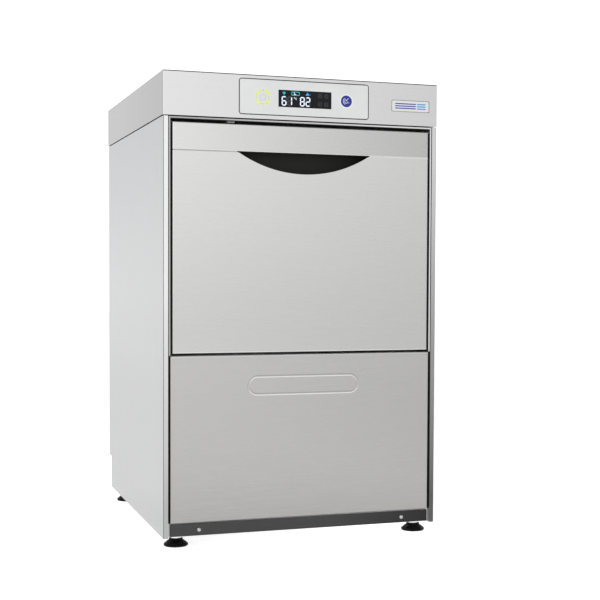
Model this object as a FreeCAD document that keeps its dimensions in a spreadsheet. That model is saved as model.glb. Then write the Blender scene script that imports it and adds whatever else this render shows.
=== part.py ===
import FreeCAD, Part
import math
import os
import re

import Sketcher
from FreeCAD import Placement, Rotation, Vector

# A front-loading commercial glass washer for a 400 mm rack. The origin is on the floor, under the middle of
# the machine. +X is the user's right, +Y is towards the back and +Z is up. Sizes are in millimetres.

SIZES = {
    # cabinet
    "width": 450, "front": -265, "rear": 265, "height": 730, "face": -264, "floor_gap": 16.5, "skin": 1,
    "lid_skin": 1.2, "lid_low": 662.5, "lid_reveal": 0.8, "post": 7.5, "post_return": 12,
    "panel_rear": 260, "notch_rear": 236, "notch_top": 75, "side_top": 661, "flange": 15,
    "tray_half": 216, "tray_high": 21, "tray_floor": 19,
    "kick_low": 18.5, "kick_top": 37, "kick_face": -262.5, "kick_half": 213, "kick_screw": 168,
    "panel_low": 38.5, "panel_top": 296.5, "panel_half": 213.5,
    "emboss_half": 92, "emboss_high": 32, "emboss_mid": 248.5, "emboss_rise": 0.7,
    "surround_half": 215.5, "surround_wall": 2.3, "surround_front": -263.5, "surround_low": 297,
    "surround_top": 660.5, "frame_back": -222, "mouth_half": 203, "mouth_low": 318, "mouth_top": 645,
    # control panel
    "bezel_half": 105.2, "bezel_high": 53, "bezel_mid": 696.2, "bezel_back": -261,
    "display_half": 43.5, "display_high": 26.5, "display_mid": 695.5,
    "button_x": 68.5, "button_mid": 696, "ring_outer": 12, "ring_inner": 10, "power_radius": 9.92,
    "start_radius": 9.25, "button_play": 0.08, "button_flange": 1.4,
    "badge_left": 146, "badge_right": 211, "badge_low": 684.3, "badge_top": 702.5, "badge_sunk": 0.8,
    # door
    "door_half": 210, "door_low": 300, "door_top": 653, "skin_top": 609.5, "handle_low": 611,
    "grip_half": 106.5, "grip_sag": 31, "hinge_y": -256, "hinge_z": 310, "pin_radius": 4, "bush_wall": 1.2,
    "liner_half": 208.9, "liner_low": 301.6, "liner_top": 651.9, "liner_flat": -227, "liner_front": -249,
    "pan_half": 200, "pan_low": 321.5, "pan_top": 641.5, "pan_back": -221,
    # chamber
    "room_half": 206, "room_back": 208, "room_top": 650, "room_low": 300,
    "tank_low": 228, "tank_half": 150, "sump_y": 95, "sump_radius": 50, "sump_low": 196,
    "filter_z": 304, "post_radius": 7, "feed_radius": 16,
    "arm_reach": 190, "arm_wide": 30, "arm_high": 12, "rinse_reach": 185, "rinse_radius": 4,
    "hub_radius": 24, "arm_low": 323, "rinse_low": 339.5, "rail_top": 356, "rail_wide": 16, "play": 0.05,
    # machinery
    "pump_z": 100, "pump_left": -95, "pump_right": -55, "pump_radius": 50, "motor_radius": 46,
    "motor_left": -205, "suction_radius": 16, "delivery_radius": 14, "hose_wall": 3,
    "boiler_x": 138, "boiler_y": -40, "boiler_radius": 60, "boiler_low": 32, "boiler_top": 190,
    "inlet_x": 150, "outlet_x": 60, "gland_x": -150, "port_z": 56, "port_collar": 5,
    "inlet_radius": 13.2, "outlet_radius": 12.5, "rinse_tube": 5,
    # levelling feet
    "foot_x": 199, "foot_front_y": -236, "foot_rear_x": 204, "foot_rear_y": 176, "pad_radius": 19,
    "stud_radius": 5, "stud_top": 55,
}

doc = FreeCAD.newDocument("GlassWasher")
sheet = doc.addObject("Spreadsheet::Sheet", "Sizes")
for row, (alias, value) in enumerate(SIZES.items(), 1):
    sheet.set(f"A{row}", alias)
    sheet.set(f"B{row}", str(value))
    sheet.setAlias(f"B{row}", alias)
doc.recompute()

TURNS = {
    "x": Rotation(Vector(0, 1, 0), 90),
    "y": Rotation(Vector(1, 0, 0), -90),
    "z": Rotation(),
}
FEET = {
    "foot_front_left": ("-foot_x", "foot_front_y"),
    "foot_front_right": ("foot_x", "foot_front_y"),
    "foot_rear_left": ("-foot_rear_x", "foot_rear_y"),
    "foot_rear_right": ("foot_rear_x", "foot_rear_y"),
}
nodes = {}


# ---- helpers -------------------------------------------------------------------------------------------


def named(formula):
    """Turns the plain size names in a formula into references to the sheet's cells."""
    return re.sub(r"[a-z_]+", lambda m: f"Sizes.{m[0]}" if m[0] in SIZES else m[0], str(formula))


def bind(thing, **formulas):
    """Binds properties of a document object to formulas."""
    for name, formula in formulas.items():
        thing.setExpression(name, named(formula))
    return thing


def put(thing, x, y, z):
    """Binds where a document object stands."""
    for axis, formula in (("x", x), ("y", y), ("z", z)):
        thing.setExpression(f"Placement.Base.{axis}", named(formula))
    return thing


def block(x, y, z):
    """A box between three (low, high) pairs of formulas."""
    box = doc.addObject("Part::Box", "Block")
    sides = {name: f"({high}) - ({low})"
             for name, (low, high) in zip(("Length", "Width", "Height"), (x, y, z))}
    return put(bind(box, **sides), x[0], y[0], z[0])


def rod(radius, at, length, axis="z"):
    """A round bar of a radius, from a point, along an axis."""
    bar = doc.addObject("Part::Cylinder", "Rod")
    bar.Placement = Placement(Vector(), TURNS[axis])
    return put(bind(bar, Radius=radius, Height=length), *at)


def join(*pieces):
    """One solid of several that touch."""
    whole = doc.addObject("Part::MultiFuse", "Joined")
    whole.Shapes = list(pieces)
    whole.Refine = True
    return whole


def cut(base, *tools):
    """What is left of the base when the tools are taken away."""
    left = doc.addObject("Part::Cut", "Rest")
    left.Base = base
    left.Tool = tools[0] if len(tools) == 1 else group(*tools)
    left.Refine = True
    return left


def group(*pieces):
    """Several solids kept apart, as one object."""
    several = doc.addObject("Part::Compound", "Several")
    several.Links = list(pieces)
    return several


def mirrored(source):
    """The same piece on the other side of the machine."""
    twin = doc.addObject("Part::Mirroring", "Twin")
    twin.Source = source
    twin.Base = Vector(0, 0, 0)
    twin.Normal = Vector(1, 0, 0)
    return twin


def both(source):
    """A pair of pieces, one on each side."""
    return group(source, mirrored(source))


def rounded(base, radius, pick):
    """The base with a fillet on the edges that pick accepts."""
    doc.recompute()
    soft = doc.addObject("Part::Fillet", "Soft")
    soft.Base = base
    soft.Edges = [(n, radius, radius) for n, edge in enumerate(base.Shape.Edges, 1)
                  if pick(edge.BoundBox)]
    return soft


def at(low, high, value):
    """True for an edge whose two limits on an axis both lie at a value."""
    return abs(low - value) < 0.01 and abs(high - value) < 0.01


def sketch_on(body, role, outline):
    """A closed sketch of straight lines on an origin plane, each corner held by two bound dimensions."""
    sketch = body.newObject("Sketcher::SketchObject", "Outline")
    plane = next(f for f in body.Origin.OriginFeatures if f.Role == role)
    sketch.AttachmentSupport = [(plane, "")]
    sketch.MapMode = "FlatFace"
    count = len(outline)
    turn = 2 * math.pi / count
    corners = [Vector(math.cos(n * turn), math.sin(n * turn), 0) for n in range(count)]
    for n in range(count):
        sketch.addGeometry(Part.LineSegment(corners[n], corners[(n + 1) % count]), False)
    for n in range(count):
        sketch.addConstraint(Sketcher.Constraint("Coincident", n, 2, (n + 1) % count, 1))
    for n, corner in enumerate(outline):
        for kind, formula, start in zip(("DistanceX", "DistanceY"), corner, corners[n]):
            index = sketch.addConstraint(Sketcher.Constraint(kind, n, 1, start))
            sketch.setExpression(f"Constraints[{index}]", named(formula))
    return sketch


def padded(role, outline, depth, reverse=False):
    """A body made by padding an outline off one of its origin planes."""
    body = doc.addObject("PartDesign::Body", "Plate")
    sketch = sketch_on(body, role, outline)
    pad = body.newObject("PartDesign::Pad", "Pad")
    pad.Profile = sketch
    pad.Reversed = reverse
    bind(pad, Length=depth)
    body.Tip = pad
    return body


def turned(outline):
    """A body made by turning an outline of (radius, height) corners about the Z axis."""
    body = doc.addObject("PartDesign::Body", "Turned")
    sketch = sketch_on(body, "XZ_Plane", outline)
    spin = body.newObject("PartDesign::Revolution", "Revolution")
    spin.Profile = sketch
    spin.ReferenceAxis = (sketch, ["V_Axis"])
    spin.Angle = 360
    body.Tip = spin
    return body


def swept(points, radius, bend):
    """A bare round bar along straight runs joined by tangent arcs."""
    edges = []
    last = points[0]
    for before, corner, after in zip(points, points[1:], points[2:]):
        inward = (before - corner).normalize()
        onward = (after - corner).normalize()
        half = inward.getAngle(onward) / 2
        reach = bend / math.tan(half)
        middle = (inward + onward).normalize()
        start = corner + inward * reach
        end = corner + onward * reach
        top = corner + middle * (bend / math.sin(half) - bend)
        edges += [Part.LineSegment(last, start).toShape(), Part.Arc(start, top, end).toShape()]
        last = end
    edges.append(Part.LineSegment(last, points[-1]).toShape())
    ring = Part.Wire(Part.makeCircle(radius, points[0], points[1] - points[0]))
    return Part.Wire(edges).makePipeShell([ring], True, True)


def tube(routes, radius, wall, bend):
    """A hollow tube along one or more routes that meet, as a bare shape."""
    outer = swept(routes[0], radius, bend)
    inner = swept(routes[0], radius - wall, bend)
    for route in routes[1:]:
        outer = outer.fuse(swept(route, radius, bend))
        inner = inner.fuse(swept(route, radius - wall, bend))
    return outer.cut(inner)


def feature(shape):
    """A document object that holds a ready shape."""
    held = doc.addObject("Part::Feature", "Shaped")
    held.Shape = shape
    return held


def node(label, thing):
    """Names a finished sub-part, which is written to its own file."""
    thing.Label = label
    nodes[label] = thing
    return thing


def size(name):
    """A driving dimension as a plain number."""
    return float(SIZES[name])


# ---- cabinet -------------------------------------------------------------------------------------------


def make_lid():
    half = "width/2"
    outer = rounded(
        block((f"-{half}", half), ("face", "rear"), ("lid_low", "height")), 1.5,
        lambda b: not at(b.ZMin, b.ZMax, size("lid_low")),
    )
    inner = block((f"-{half} + lid_skin", f"{half} - lid_skin"), ("face + lid_skin", "rear - lid_skin"),
                  ("lid_low - 1", "height - lid_skin"))
    rear_gap = block(("-width/2 + flange", "width/2 - flange"), ("rear - 5", "rear + 5"),
                     ("lid_low - 1", "height - 2*flange"))
    front_hem = block((f"-{half} + lid_skin", f"{half} - lid_skin"), ("face + lid_skin/2", "face + 12"),
                      ("lid_low", "lid_low + lid_skin"))
    window = rounded(
        block(("-bezel_half - 0.4", "bezel_half + 0.4"), ("face - 5", "face + 5"),
              ("bezel_mid - bezel_high/2 - 0.4", "bezel_mid + bezel_high/2 + 0.4")), 3.4,
        lambda b: b.YLength > 5,
    )
    pocket = rounded(
        block(("badge_left - 0.3", "badge_right + 0.3"), ("face - 5", "face + badge_sunk"),
              ("badge_low - 0.3", "badge_top + 0.3")), 2,
        lambda b: b.YLength > 5,
    )
    pocket_back = block(("badge_left - 2", "badge_right + 2"),
                        ("face + lid_skin", "face + lid_skin + badge_sunk"),
                        ("badge_low - 2", "badge_top + 2"))
    shell = cut(outer, inner, rear_gap)
    node("lid", cut(join(shell, front_hem, pocket_back), window, pocket))


def make_side_panels():
    edge = "-width/2 + lid_reveal"
    plate = put(
        padded("YZ_Plane", [
            ("face", "floor_gap"), ("notch_rear", "floor_gap"), ("notch_rear", "notch_top"),
            ("panel_rear", "notch_top"), ("panel_rear", "side_top"), ("face", "side_top"),
        ], "skin"), edge, 0, 0,
    )
    front_fold = block((edge, f"{edge} + post"), ("face", "face + skin"), ("floor_gap", "side_top"))
    inner_fold = block((f"{edge} + post - skin", f"{edge} + post"), ("face + skin", "face + post_return"),
                       ("floor_gap", "side_top"))
    top_fold = block((f"{edge} + skin", f"{edge} + 6"), ("face + post_return", "panel_rear - skin"),
                     ("side_top - skin", "side_top"))
    upstand = block((f"{edge} + 5", f"{edge} + 6"), ("face + post_return + 2", "panel_rear - 5"),
                    ("side_top - skin", "height - lid_skin"))
    bottom_fold = block((f"{edge} + skin", f"{edge} + flange"), ("face + post_return", "notch_rear"),
                        ("floor_gap", "floor_gap + skin"))
    rear_fold = block((f"{edge} + skin", f"{edge} + flange"), ("panel_rear - skin", "panel_rear"),
                      ("notch_top", "side_top"))
    sheet_metal = join(plate, front_fold, inner_fold, top_fold, upstand, bottom_fold, rear_fold)
    corner = -size("width") / 2 + size("lid_reveal")
    left = rounded(sheet_metal, 0.9, lambda b: at(b.XMin, b.XMax, corner)
                   and at(b.YMin, b.YMax, size("face")))
    node("side_panel_left", left)
    node("side_panel_right", mirrored(left))


def make_back_panel():
    half = "width/2 - lid_reveal - skin - 0.5"
    upper = block((f"-({half})", half), ("panel_rear", "panel_rear + skin"),
                  ("notch_top - skin", "height - 8"))
    ledge = block((f"-({half})", half), ("notch_rear", "panel_rear"), ("notch_top - skin", "notch_top"))
    lower = block((f"-({half})", half), ("notch_rear", "notch_rear + skin"),
                  ("floor_gap + 3", "notch_top - skin"))
    louvres = []
    for column in (-1, 1):
        for step in range(9):
            louvres.append(block((f"{column}*110 - 45", f"{column}*110 + 45"),
                                 ("panel_rear - 5", "panel_rear + 5"),
                                 (f"160 + {step}*14", f"164 + {step}*14")))
    holes = [
        rod(radius, (x, "notch_rear - 5", "port_z"), 12, "y")
        for radius, x in (("inlet_radius + 0.8", "inlet_x"), ("outlet_radius + 0.5", "outlet_x"),
                          (10.2, "gland_x"))
    ]
    screw_holes = [rod(1.95, (x, "panel_rear - 5", z), 10, "y") for x, z in back_screw_places()]
    node("back_panel", group(cut(upper, *louvres, *screw_holes), ledge, cut(lower, *holes)))


def back_screw_places():
    """Where the back panel's screws go, as (x, z) formulas."""
    return [(f"{side}*(width/2 - 9)", z) for side in (-1, 1) for z in (120, 300, 480, 645)]


def make_screws():
    def screw(x, y, z, shank, facing):
        head_start = y if facing > 0 else f"{y} - 1.6"
        shank_start = f"{y} - {shank}" if facing > 0 else y
        return join(rod(4, (x, head_start, z), 1.6, "y"), rod(1.9, (x, shank_start, z), shank, "y"))

    back = [screw(x, "panel_rear + skin", z, 1, 1) for x, z in back_screw_places()]
    kick = [screw(f"{side}*kick_screw", "kick_face", "kick_low + 9", 6, -1) for side in (-1, 1)]
    node("panel_screws", group(*back, *kick))


def make_base_tray():
    low = "floor_gap + skin"
    front = "kick_face + 4"
    outer = block(("-tray_half", "tray_half"), (front, "notch_rear"), (low, f"{low} + tray_high"))
    inner = block(("-tray_half + 1.5", "tray_half - 1.5"), (f"{front} + 1.5", "notch_rear - 1.5"),
                  ("tray_floor", f"{low} + 40"))
    tabs = [block((f"{side}*155 - 15", f"{side}*155 + 15"), ("face + 13", "face + 14.5"),
                  (low, "panel_low + 22"))
            for side in (-1, 1)]
    vents = [block((f"-112 + {step}*14", f"-106 + {step}*14"), (-150, 20),
                   ("floor_gap - 5", "floor_gap + 10"))
             for step in range(13)]
    screws = [rod(1.95, (f"{side}*kick_screw", "kick_face", "kick_low + 9"), 10, "y") for side in (-1, 1)]
    nuts = []
    bores = []
    for x, y in FEET.values():
        nut = doc.addObject("Part::Prism", "Nut")
        nut.Polygon = 6
        nuts.append(put(bind(nut, Circumradius="2*stud_radius", Height=12), x, y, low))
        bores.append(rod("stud_radius + play", (x, y, 0), 60))
    node("base_tray", cut(join(cut(outer, inner, *vents), *tabs, *nuts), *screws, *bores))


def make_kick_plate():
    front = block(("-kick_half", "kick_half"), ("kick_face", "kick_face + 1.2"), ("kick_low", "kick_top"))
    top = block(("-kick_half", "kick_half"), ("kick_face", "kick_face + 4"),
                ("kick_top - 1.2", "kick_top"))
    low = block(("-kick_half", "kick_half"), ("kick_face", "kick_face + 4"),
                ("kick_low", "kick_low + 1.2"))
    holes = [rod(1.95, (f"{side}*kick_screw", "kick_face - 5", "kick_low + 9"), 20, "y")
             for side in (-1, 1)]
    node("kick_plate", cut(join(front, top, low), *holes))


def stadium(half, high, mid, y, depth):
    """A bar with round ends that stands up from a face by its depth."""
    core = block((f"-{half} + {high}/2", f"{half} - {high}/2"), (y, f"{y} + {depth}"),
                 (f"{mid} - {high}/2", f"{mid} + {high}/2"))
    ends = [rod(f"{high}/2", (f"{side}*({half} - {high}/2)", y, mid), depth, "y") for side in (-1, 1)]
    return join(core, *ends)


def make_front_panel():
    outer = rounded(
        block(("-panel_half", "panel_half"), ("face", "face + 13"), ("panel_low", "panel_top")), 2.5,
        lambda b: at(b.YMin, b.YMax, size("face")),
    )
    inner = rounded(
        block(("-panel_half + skin", "panel_half - skin"), ("face + skin", "face + 20"),
              ("panel_low + skin", "panel_top - skin")), 1.5,
        lambda b: at(b.YMin, b.YMax, size("face") + size("skin")),
    )
    raised = stadium("emboss_half", "emboss_high", "emboss_mid", "face - emboss_rise",
                     "emboss_rise + 0.2")
    centre = stadium("(emboss_half - 4)", "(emboss_high - 8)", "emboss_mid", "face - emboss_rise - 1",
                     "1 + emboss_rise")
    node("front_panel", join(cut(outer, inner), cut(raised, centre)))


def make_front_frame():
    outer = block(("-surround_half", "surround_half"), ("surround_front", "frame_back"),
                  ("surround_low", "surround_top"))
    recess = block(("-surround_half + surround_wall", "surround_half - surround_wall"),
                   ("surround_front - 5", "frame_back - skin"),
                   ("surround_low - 5", "surround_top - surround_wall"))
    mouth = rounded(
        block(("-mouth_half", "mouth_half"), ("frame_back - 10", "frame_back + 10"),
              ("mouth_low", "mouth_top")), 8,
        lambda b: b.YLength > 5,
    )
    wings = [block((f"{side}*219.35 - 3.85", f"{side}*219.35 + 3.85"),
                   ("frame_back - skin", "frame_back"),
                   ("surround_low", "side_top - 1.5")) for side in (-1, 1)]
    node("front_frame", cut(join(cut(outer, recess), *wings), mouth))
    leaf = block(("-122", "-110"), ("surround_front + 9", "surround_front + 34"),
                 ("surround_top - surround_wall - 1", "surround_top - surround_wall"))
    nose = rod(1.6, ("-122", "surround_front + 14", "surround_top - surround_wall - 1.6"), 12, "x")
    node("door_catch", join(leaf, nose))


# ---- control panel -------------------------------------------------------------------------------------


def make_control_panel():
    face_plate = rounded(
        block(("-bezel_half", "bezel_half"), ("front", "bezel_back"),
              ("bezel_mid - bezel_high/2", "bezel_mid + bezel_high/2")), 3,
        lambda b: b.YLength > 3,
    )
    eased = rounded(face_plate, 0.5, lambda b: at(b.YMin, b.YMax, size("front")))
    lip = block(("-bezel_half - 4", "bezel_half + 4"), ("face + lid_skin", "bezel_back"),
                ("bezel_mid - bezel_high/2 - 3", "bezel_mid + bezel_high/2 + 3"))
    glass_hole = block(("-display_half", "display_half"), ("front - 5", "bezel_back + 5"),
                       ("display_mid - display_high/2", "display_mid + display_high/2"))
    ring_hole = rod("ring_outer", ("-button_x", "front - 5", "button_mid"), 20, "y")
    start_hole = rod("start_radius + button_play", ("button_x", "front - 5", "button_mid"), 20, "y")
    node("control_bezel", cut(join(eased, lip), glass_hole, ring_hole, start_hole))

    window = block(("-display_half + 0.1", "display_half - 0.1"), ("front + 0.3", "front + 2.3"),
                   ("display_mid - display_high/2 + 0.1", "display_mid + display_high/2 - 0.1"))
    node("display_window", window)
    ring = cut(rod("ring_outer - 0.02", ("-button_x", "front + 0.2", "button_mid"),
                   "bezel_back - front - 0.2", "y"),
               rod("ring_inner", ("-button_x", "front - 5", "button_mid"), 20, "y"))
    node("power_ring", ring)
    for label, x, radius, shoulder in (
        ("power_button", "-button_x", "power_radius", "ring_inner"),
        ("start_button", "button_x", "start_radius", "start_radius"),
    ):
        cap = rounded(rod(radius, (x, "front + 0.1", "button_mid"), "bezel_back - front + 0.1", "y"), 0.6,
                      lambda b: b.YMax < size("front") + 1)
        stop = rod(f"{shoulder} + button_flange", (x, "bezel_back + 0.1", "button_mid"), 1.2, "y")
        node(label, join(cap, stop))

    badge = rounded(block(("badge_left", "badge_right"), ("face + 0.1", "face + badge_sunk"),
                          ("badge_low", "badge_top")),
                    1.6, lambda b: b.YLength > 0.5)
    node("badge", badge)

    board = block((-96, 96), ("bezel_back + 7", "bezel_back + 8.6"), ("bezel_mid - 24", "bezel_mid + 24"))
    screen = block(("-display_half - 4", "display_half + 4"), ("bezel_back", "bezel_back + 7"),
                   ("display_mid - display_high/2 - 3", "display_mid + display_high/2 + 3"))
    switches = [block((f"{side}*button_x - 3", f"{side}*button_x + 3"),
                      ("bezel_back + 3", "bezel_back + 7"),
                      ("button_mid - 3", "button_mid + 3")) for side in (-1, 1)]
    node("display_board", join(board, screen, *switches))


# ---- door ----------------------------------------------------------------------------------------------


def make_door():
    outer = rounded(
        block(("-door_half", "door_half"), ("face", "face + 21"), ("door_low", "skin_top")), 1.8,
        lambda b: at(b.YMin, b.YMax, size("face")) and not at(b.ZMin, b.ZMax, size("skin_top")),
    )
    inner = block(("-door_half + skin", "door_half - skin"), ("face + skin", "face + 30"),
                  ("door_low + skin", "skin_top + 5"))
    sag = "grip_sag"
    radius = f"((grip_half^2 + {sag}^2)/(2*{sag}))"
    crescent = rod(radius, (0, "face - 5", f"skin_top - {sag} + {radius}"), 12, "y")
    pin_holes = rod("pin_radius + 2", ("-door_half - 5", "hinge_y", "hinge_z"), "2*door_half + 10", "x")
    node("door_skin", cut(outer, inner, crescent, pin_holes))

    bar = rounded(
        block(("-door_half", "door_half"), ("face", "face + 21"), ("handle_low", "door_top")), 1.8,
        lambda b: at(b.YMin, b.YMax, size("face")),
    )
    hollow = block(("-door_half + skin", "door_half - skin"), ("face + skin", "face + 30"),
                   ("handle_low + skin", "door_top - skin"))
    low_gap = block(("-door_half + skin", "door_half - skin"), ("face + 12", "face + 30"),
                    ("handle_low - 5", "handle_low + 5"))
    lip = block(("-door_half + 6", "door_half - 6"), ("face + 11", "face + 12"),
                ("handle_low", "handle_low + 9"))
    node("door_handle", join(cut(bar, hollow, low_gap), lip))

    moulding = block((-114, 114), ("face + skin", "face + 27"),
                     ("skin_top - grip_sag - 10", "handle_low + 29"))
    cavity = block((-111.5, 111.5), ("face - 5", "face + 24.5"),
                   ("skin_top - grip_sag - 7", "handle_low + 26.5"))
    bar_room = block((-120, 120), ("face - 5", "face + 12.4"), ("skin_top - 0.6", "handle_low + 40"))
    node("grip_pocket", cut(rounded(moulding, 3, lambda b: b.XLength < 1 and b.YLength < 1), cavity,
                            bar_room))

    tray = cut(
        block(("-liner_half", "liner_half"), ("liner_front", "liner_flat"), ("liner_low", "liner_top")),
        block(("-liner_half + skin", "liner_half - skin"), ("liner_front - 5", "liner_flat - skin"),
              ("liner_low + skin", "liner_top - skin")),
    )
    pan = rounded(
        block(("-pan_half", "pan_half"), ("liner_flat - skin", "pan_back"), ("pan_low", "pan_top")), 5,
        lambda b: b.YLength > 5 or at(b.YMin, b.YMax, size("pan_back")),
    )
    pan_hollow = rounded(
        block(("-pan_half + skin", "pan_half - skin"), ("liner_flat - 5", "pan_back - skin"),
              ("pan_low + skin", "pan_top - skin")), 4,
        lambda b: b.YLength > 5 or at(b.YMin, b.YMax, size("pan_back") - size("skin")),
    )
    node("door_liner", cut(join(tray, pan), pan_hollow))

    seal_outer = rounded(block(("-liner_half + 1.5", "liner_half - 1.5"),
                               ("liner_flat", "liner_flat + 3.7"),
                               (312.5, "liner_top - 2.5")), 9, lambda b: b.YLength > 3)
    seal_inner = rounded(block(("-mouth_half + 0.5", "mouth_half - 0.5"),
                               ("liner_flat - 1", "liner_flat + 5"),
                               (317.5, "mouth_top + 0.3")), 6, lambda b: b.YLength > 3)
    node("door_seal", cut(seal_outer, seal_inner))

    outside = "liner_half - skin"
    arm = block((f"{outside} - 3", outside), ("face + skin", "liner_flat - skin"),
                ("liner_low + skin", "door_low + 72"))
    tab = block((f"{outside} - 20", outside), ("liner_flat - skin - 3", "liner_flat - skin"),
                ("door_low + 12", "door_low + 72"))
    bore = rod("pin_radius + bush_wall", (f"{outside} - 6", "hinge_y", "hinge_z"), 8, "x")
    node("hinge_arms", both(cut(join(arm, tab), bore)))
    bush = cut(rod("pin_radius + bush_wall - 0.02", (f"{outside} - 3", "hinge_y", "hinge_z"), 3, "x"),
               rod("pin_radius + play", (f"{outside} - 6", "hinge_y", "hinge_z"), 8, "x"))
    node("hinge_bushes", both(bush))

    inner_wall = "surround_half - surround_wall"
    plate = block((f"{inner_wall} - 2", inner_wall), ("surround_front + 1.5", "frame_back - skin"),
                  ("surround_low", "surround_low + 40"))
    pin = rod("pin_radius", (f"{outside} - 3", "hinge_y", "hinge_z"), f"{inner_wall} - {outside} + 3",
              "x")
    node("hinge_brackets", both(join(plate, pin)))


# ---- chamber and spray arms ----------------------------------------------------------------------------


def tapered(grow, low, high):
    """The tank's sloping block, wider at the top, grown outward by an amount."""
    wedge = doc.addObject("Part::Wedge", "Tank")
    wedge.Placement = Placement(Vector(), Rotation(Vector(1, 0, 0), 90))
    bind(wedge, Xmin=f"-tank_half - {grow}", Xmax=f"tank_half + {grow}", Zmin=f"-tank_half - {grow}",
         Zmax=f"tank_half + {grow}", X2min=f"-room_half - {grow}", X2max=f"room_half + {grow}",
         Z2min=f"-room_back - {grow}", Z2max=f"-frame_back - 1 + {grow}", Ymin=low, Ymax=high)
    return wedge


def make_chamber():
    roof = cut(
        block(("-room_half - skin", "room_half + skin"), ("frame_back", "room_back + skin"),
              ("room_top", "room_top + skin")),
        rod(10, (0, 0, "room_top - 5"), 10),
    )
    back = block(("-room_half", "room_half"), ("room_back", "room_back + skin"), ("room_low", "room_top"))
    walls = both(block(("room_half", "room_half + skin"), ("frame_back", "room_back + skin"),
                       ("room_low", "room_top")))
    ledge = ("filter_z - 1", "filter_z")
    ledges = [
        both(block(("room_half - 6", "room_half"), ("frame_back", "room_back"), ledge)),
        block(("-room_half + 6", "room_half - 6"), ("frame_back", "frame_back + 6"), ledge),
        block(("-room_half + 6", "room_half - 6"), ("room_back - 6", "room_back"), ledge),
    ]
    node("chamber_hood", group(roof, back, walls, *ledges))

    well = rod("sump_radius + skin", (0, "sump_y", "sump_low - skin"), "tank_low - sump_low + skin")
    well_hollow = rod("sump_radius", (0, "sump_y", "sump_low"), "tank_low - sump_low + 10")
    outlet = rod("suction_radius - hose_wall - play", (0, "sump_y", "sump_low - 16"), 16)
    suction = rod("suction_radius - hose_wall - 3", (0, "sump_y", "sump_low - 20"), 30)
    drain = rod(6, (34, "sump_y", "sump_low - 10"), 20)
    feed = rod("feed_radius", (0, 0, "tank_low - 10"), 20)
    heater_holes = [rod("4 + play", (f"{side}*75", 120, "tank_low + 18"), 100, "y") for side in (-1, 1)]
    body = join(tapered("skin", "tank_low - skin", "room_low"), well, outlet)
    node("wash_tank", cut(body, tapered("0", "tank_low", "room_low + 0.01"), well_hollow, suction, drain,
                          feed,
                          *heater_holes))

    plates = block((0.5, "room_half - 0.5"), ("frame_back + 0.5", "room_back - 0.5"),
                   ("filter_z", "filter_z + 1.2"))
    plate = cut(plates, rod("feed_radius + 2", (0, 0, "filter_z - 5"), 20),
                rod("sump_radius - 3", (0, "sump_y", "filter_z - 5"), 20))
    node("filter_plates", both(plate))

    cup = cut(join(rod("sump_radius - 6", (0, "sump_y", "sump_low + 16"), "filter_z - sump_low - 13.5"),
                   rod("sump_radius", (0, "sump_y", "filter_z + 1.2"), 1.3)),
              rod("sump_radius - 7", (0, "sump_y", "sump_low + 17"), 120))
    node("filter_cup", cup)
    pipe = turned([(11, 0), (14, 0), (14, 78), (19, 80), (19, 86), (14, 91), (0, 93), (0, 88), (11, 85)])
    node("standpipe", put(pipe, 0, "sump_y", "sump_low + 17.2"))

    level = size("tank_low") + 18
    path = [Vector(x, y, level) for x, y in ((-75, 196), (-75, -90), (75, -90), (75, 196))]
    node("tank_heater", feature(swept(path, 4, 45)))

    shelf = block(("room_half - rail_wide", "room_half"), ("frame_back + 8", "room_back - 4"),
                  ("rail_top - 1.5", "rail_top"))
    upright = block(("room_half - 1.2", "room_half"), ("frame_back + 8", "room_back - 4"),
                    ("rail_top - 14", "rail_top + 16"))
    bead = rod(2, ("room_half - rail_wide", "frame_back + 8", "rail_top - 1.5"),
               "room_back - frame_back - 12", "y")
    node("rack_rails", both(join(shelf, upright, bead)))


def make_spindles():
    lower = turned([
        (0, "tank_low - 29"), ("delivery_radius - hose_wall - play", "tank_low - 29"),
        ("delivery_radius - hose_wall - play", "tank_low - 24"), ("feed_radius - play", "tank_low - 24"),
        ("feed_radius - play", "arm_low - 0.3"), ("post_radius", "arm_low - 0.3"),
        ("post_radius", "arm_low + 28"), (0, "arm_low + 28"),
    ])
    node("lower_spindle", lower)
    upper = turned([
        (0, "room_top"), ("feed_radius + 8", "room_top"), ("feed_radius + 8", "room_top - 2"),
        ("feed_radius", "room_top - 2"), ("feed_radius", "room_top - 14"),
        ("post_radius", "room_top - 14"),
        ("post_radius", "room_top - 42"), (0, "room_top - 42"),
    ])
    node("upper_spindle", upper)
    low_cap = cut(rod(12, (0, 0, "arm_low + 24.7"), 5.8), rod("post_radius", (0, 0, "arm_low"), 28))
    top_cap = cut(rod(12, (0, 0, "room_top - 45"), 5.8), rod("post_radius", (0, 0, "room_top - 42"), 28))
    node("arm_caps", group(low_cap, top_cap))


def wash_arm(low, up):
    """A hollow flat arm on a hub, with its slots on the upper side where up is 1 and below where it is -1."""
    beam = rounded(
        block(("-arm_reach", "arm_reach"), ("-arm_wide/2", "arm_wide/2"),
              (f"{low} + 2", f"{low} + 2 + arm_high")), 4,
        lambda b: b.ZLength > 5 or b.XLength > 50,
    )
    hub = rod("hub_radius", (0, 0, low), 16)
    hollow = block(("-arm_reach + 4", "arm_reach - 4"), ("-arm_wide/2 + 4", "arm_wide/2 - 4"),
                   (f"{low} + 3.2", f"{low} + 0.8 + arm_high"))
    bore = rod("post_radius + play", (0, 0, f"{low} - 5"), 40)
    mid = f"{low} + 8"
    slots = []
    for step in range(5):
        for side in (-1, 1):
            x = f"{side}*(48 + {step}*30)"
            slots.append(block((f"{x} - 6", f"{x} + 6"), (f"{side}*5 - 1", f"{side}*5 + 1"),
                               (mid if up > 0 else f"{low} - 5", f"{low} + 25" if up > 0 else mid)))
    return cut(join(beam, hub), hollow, bore, *slots)


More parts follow.
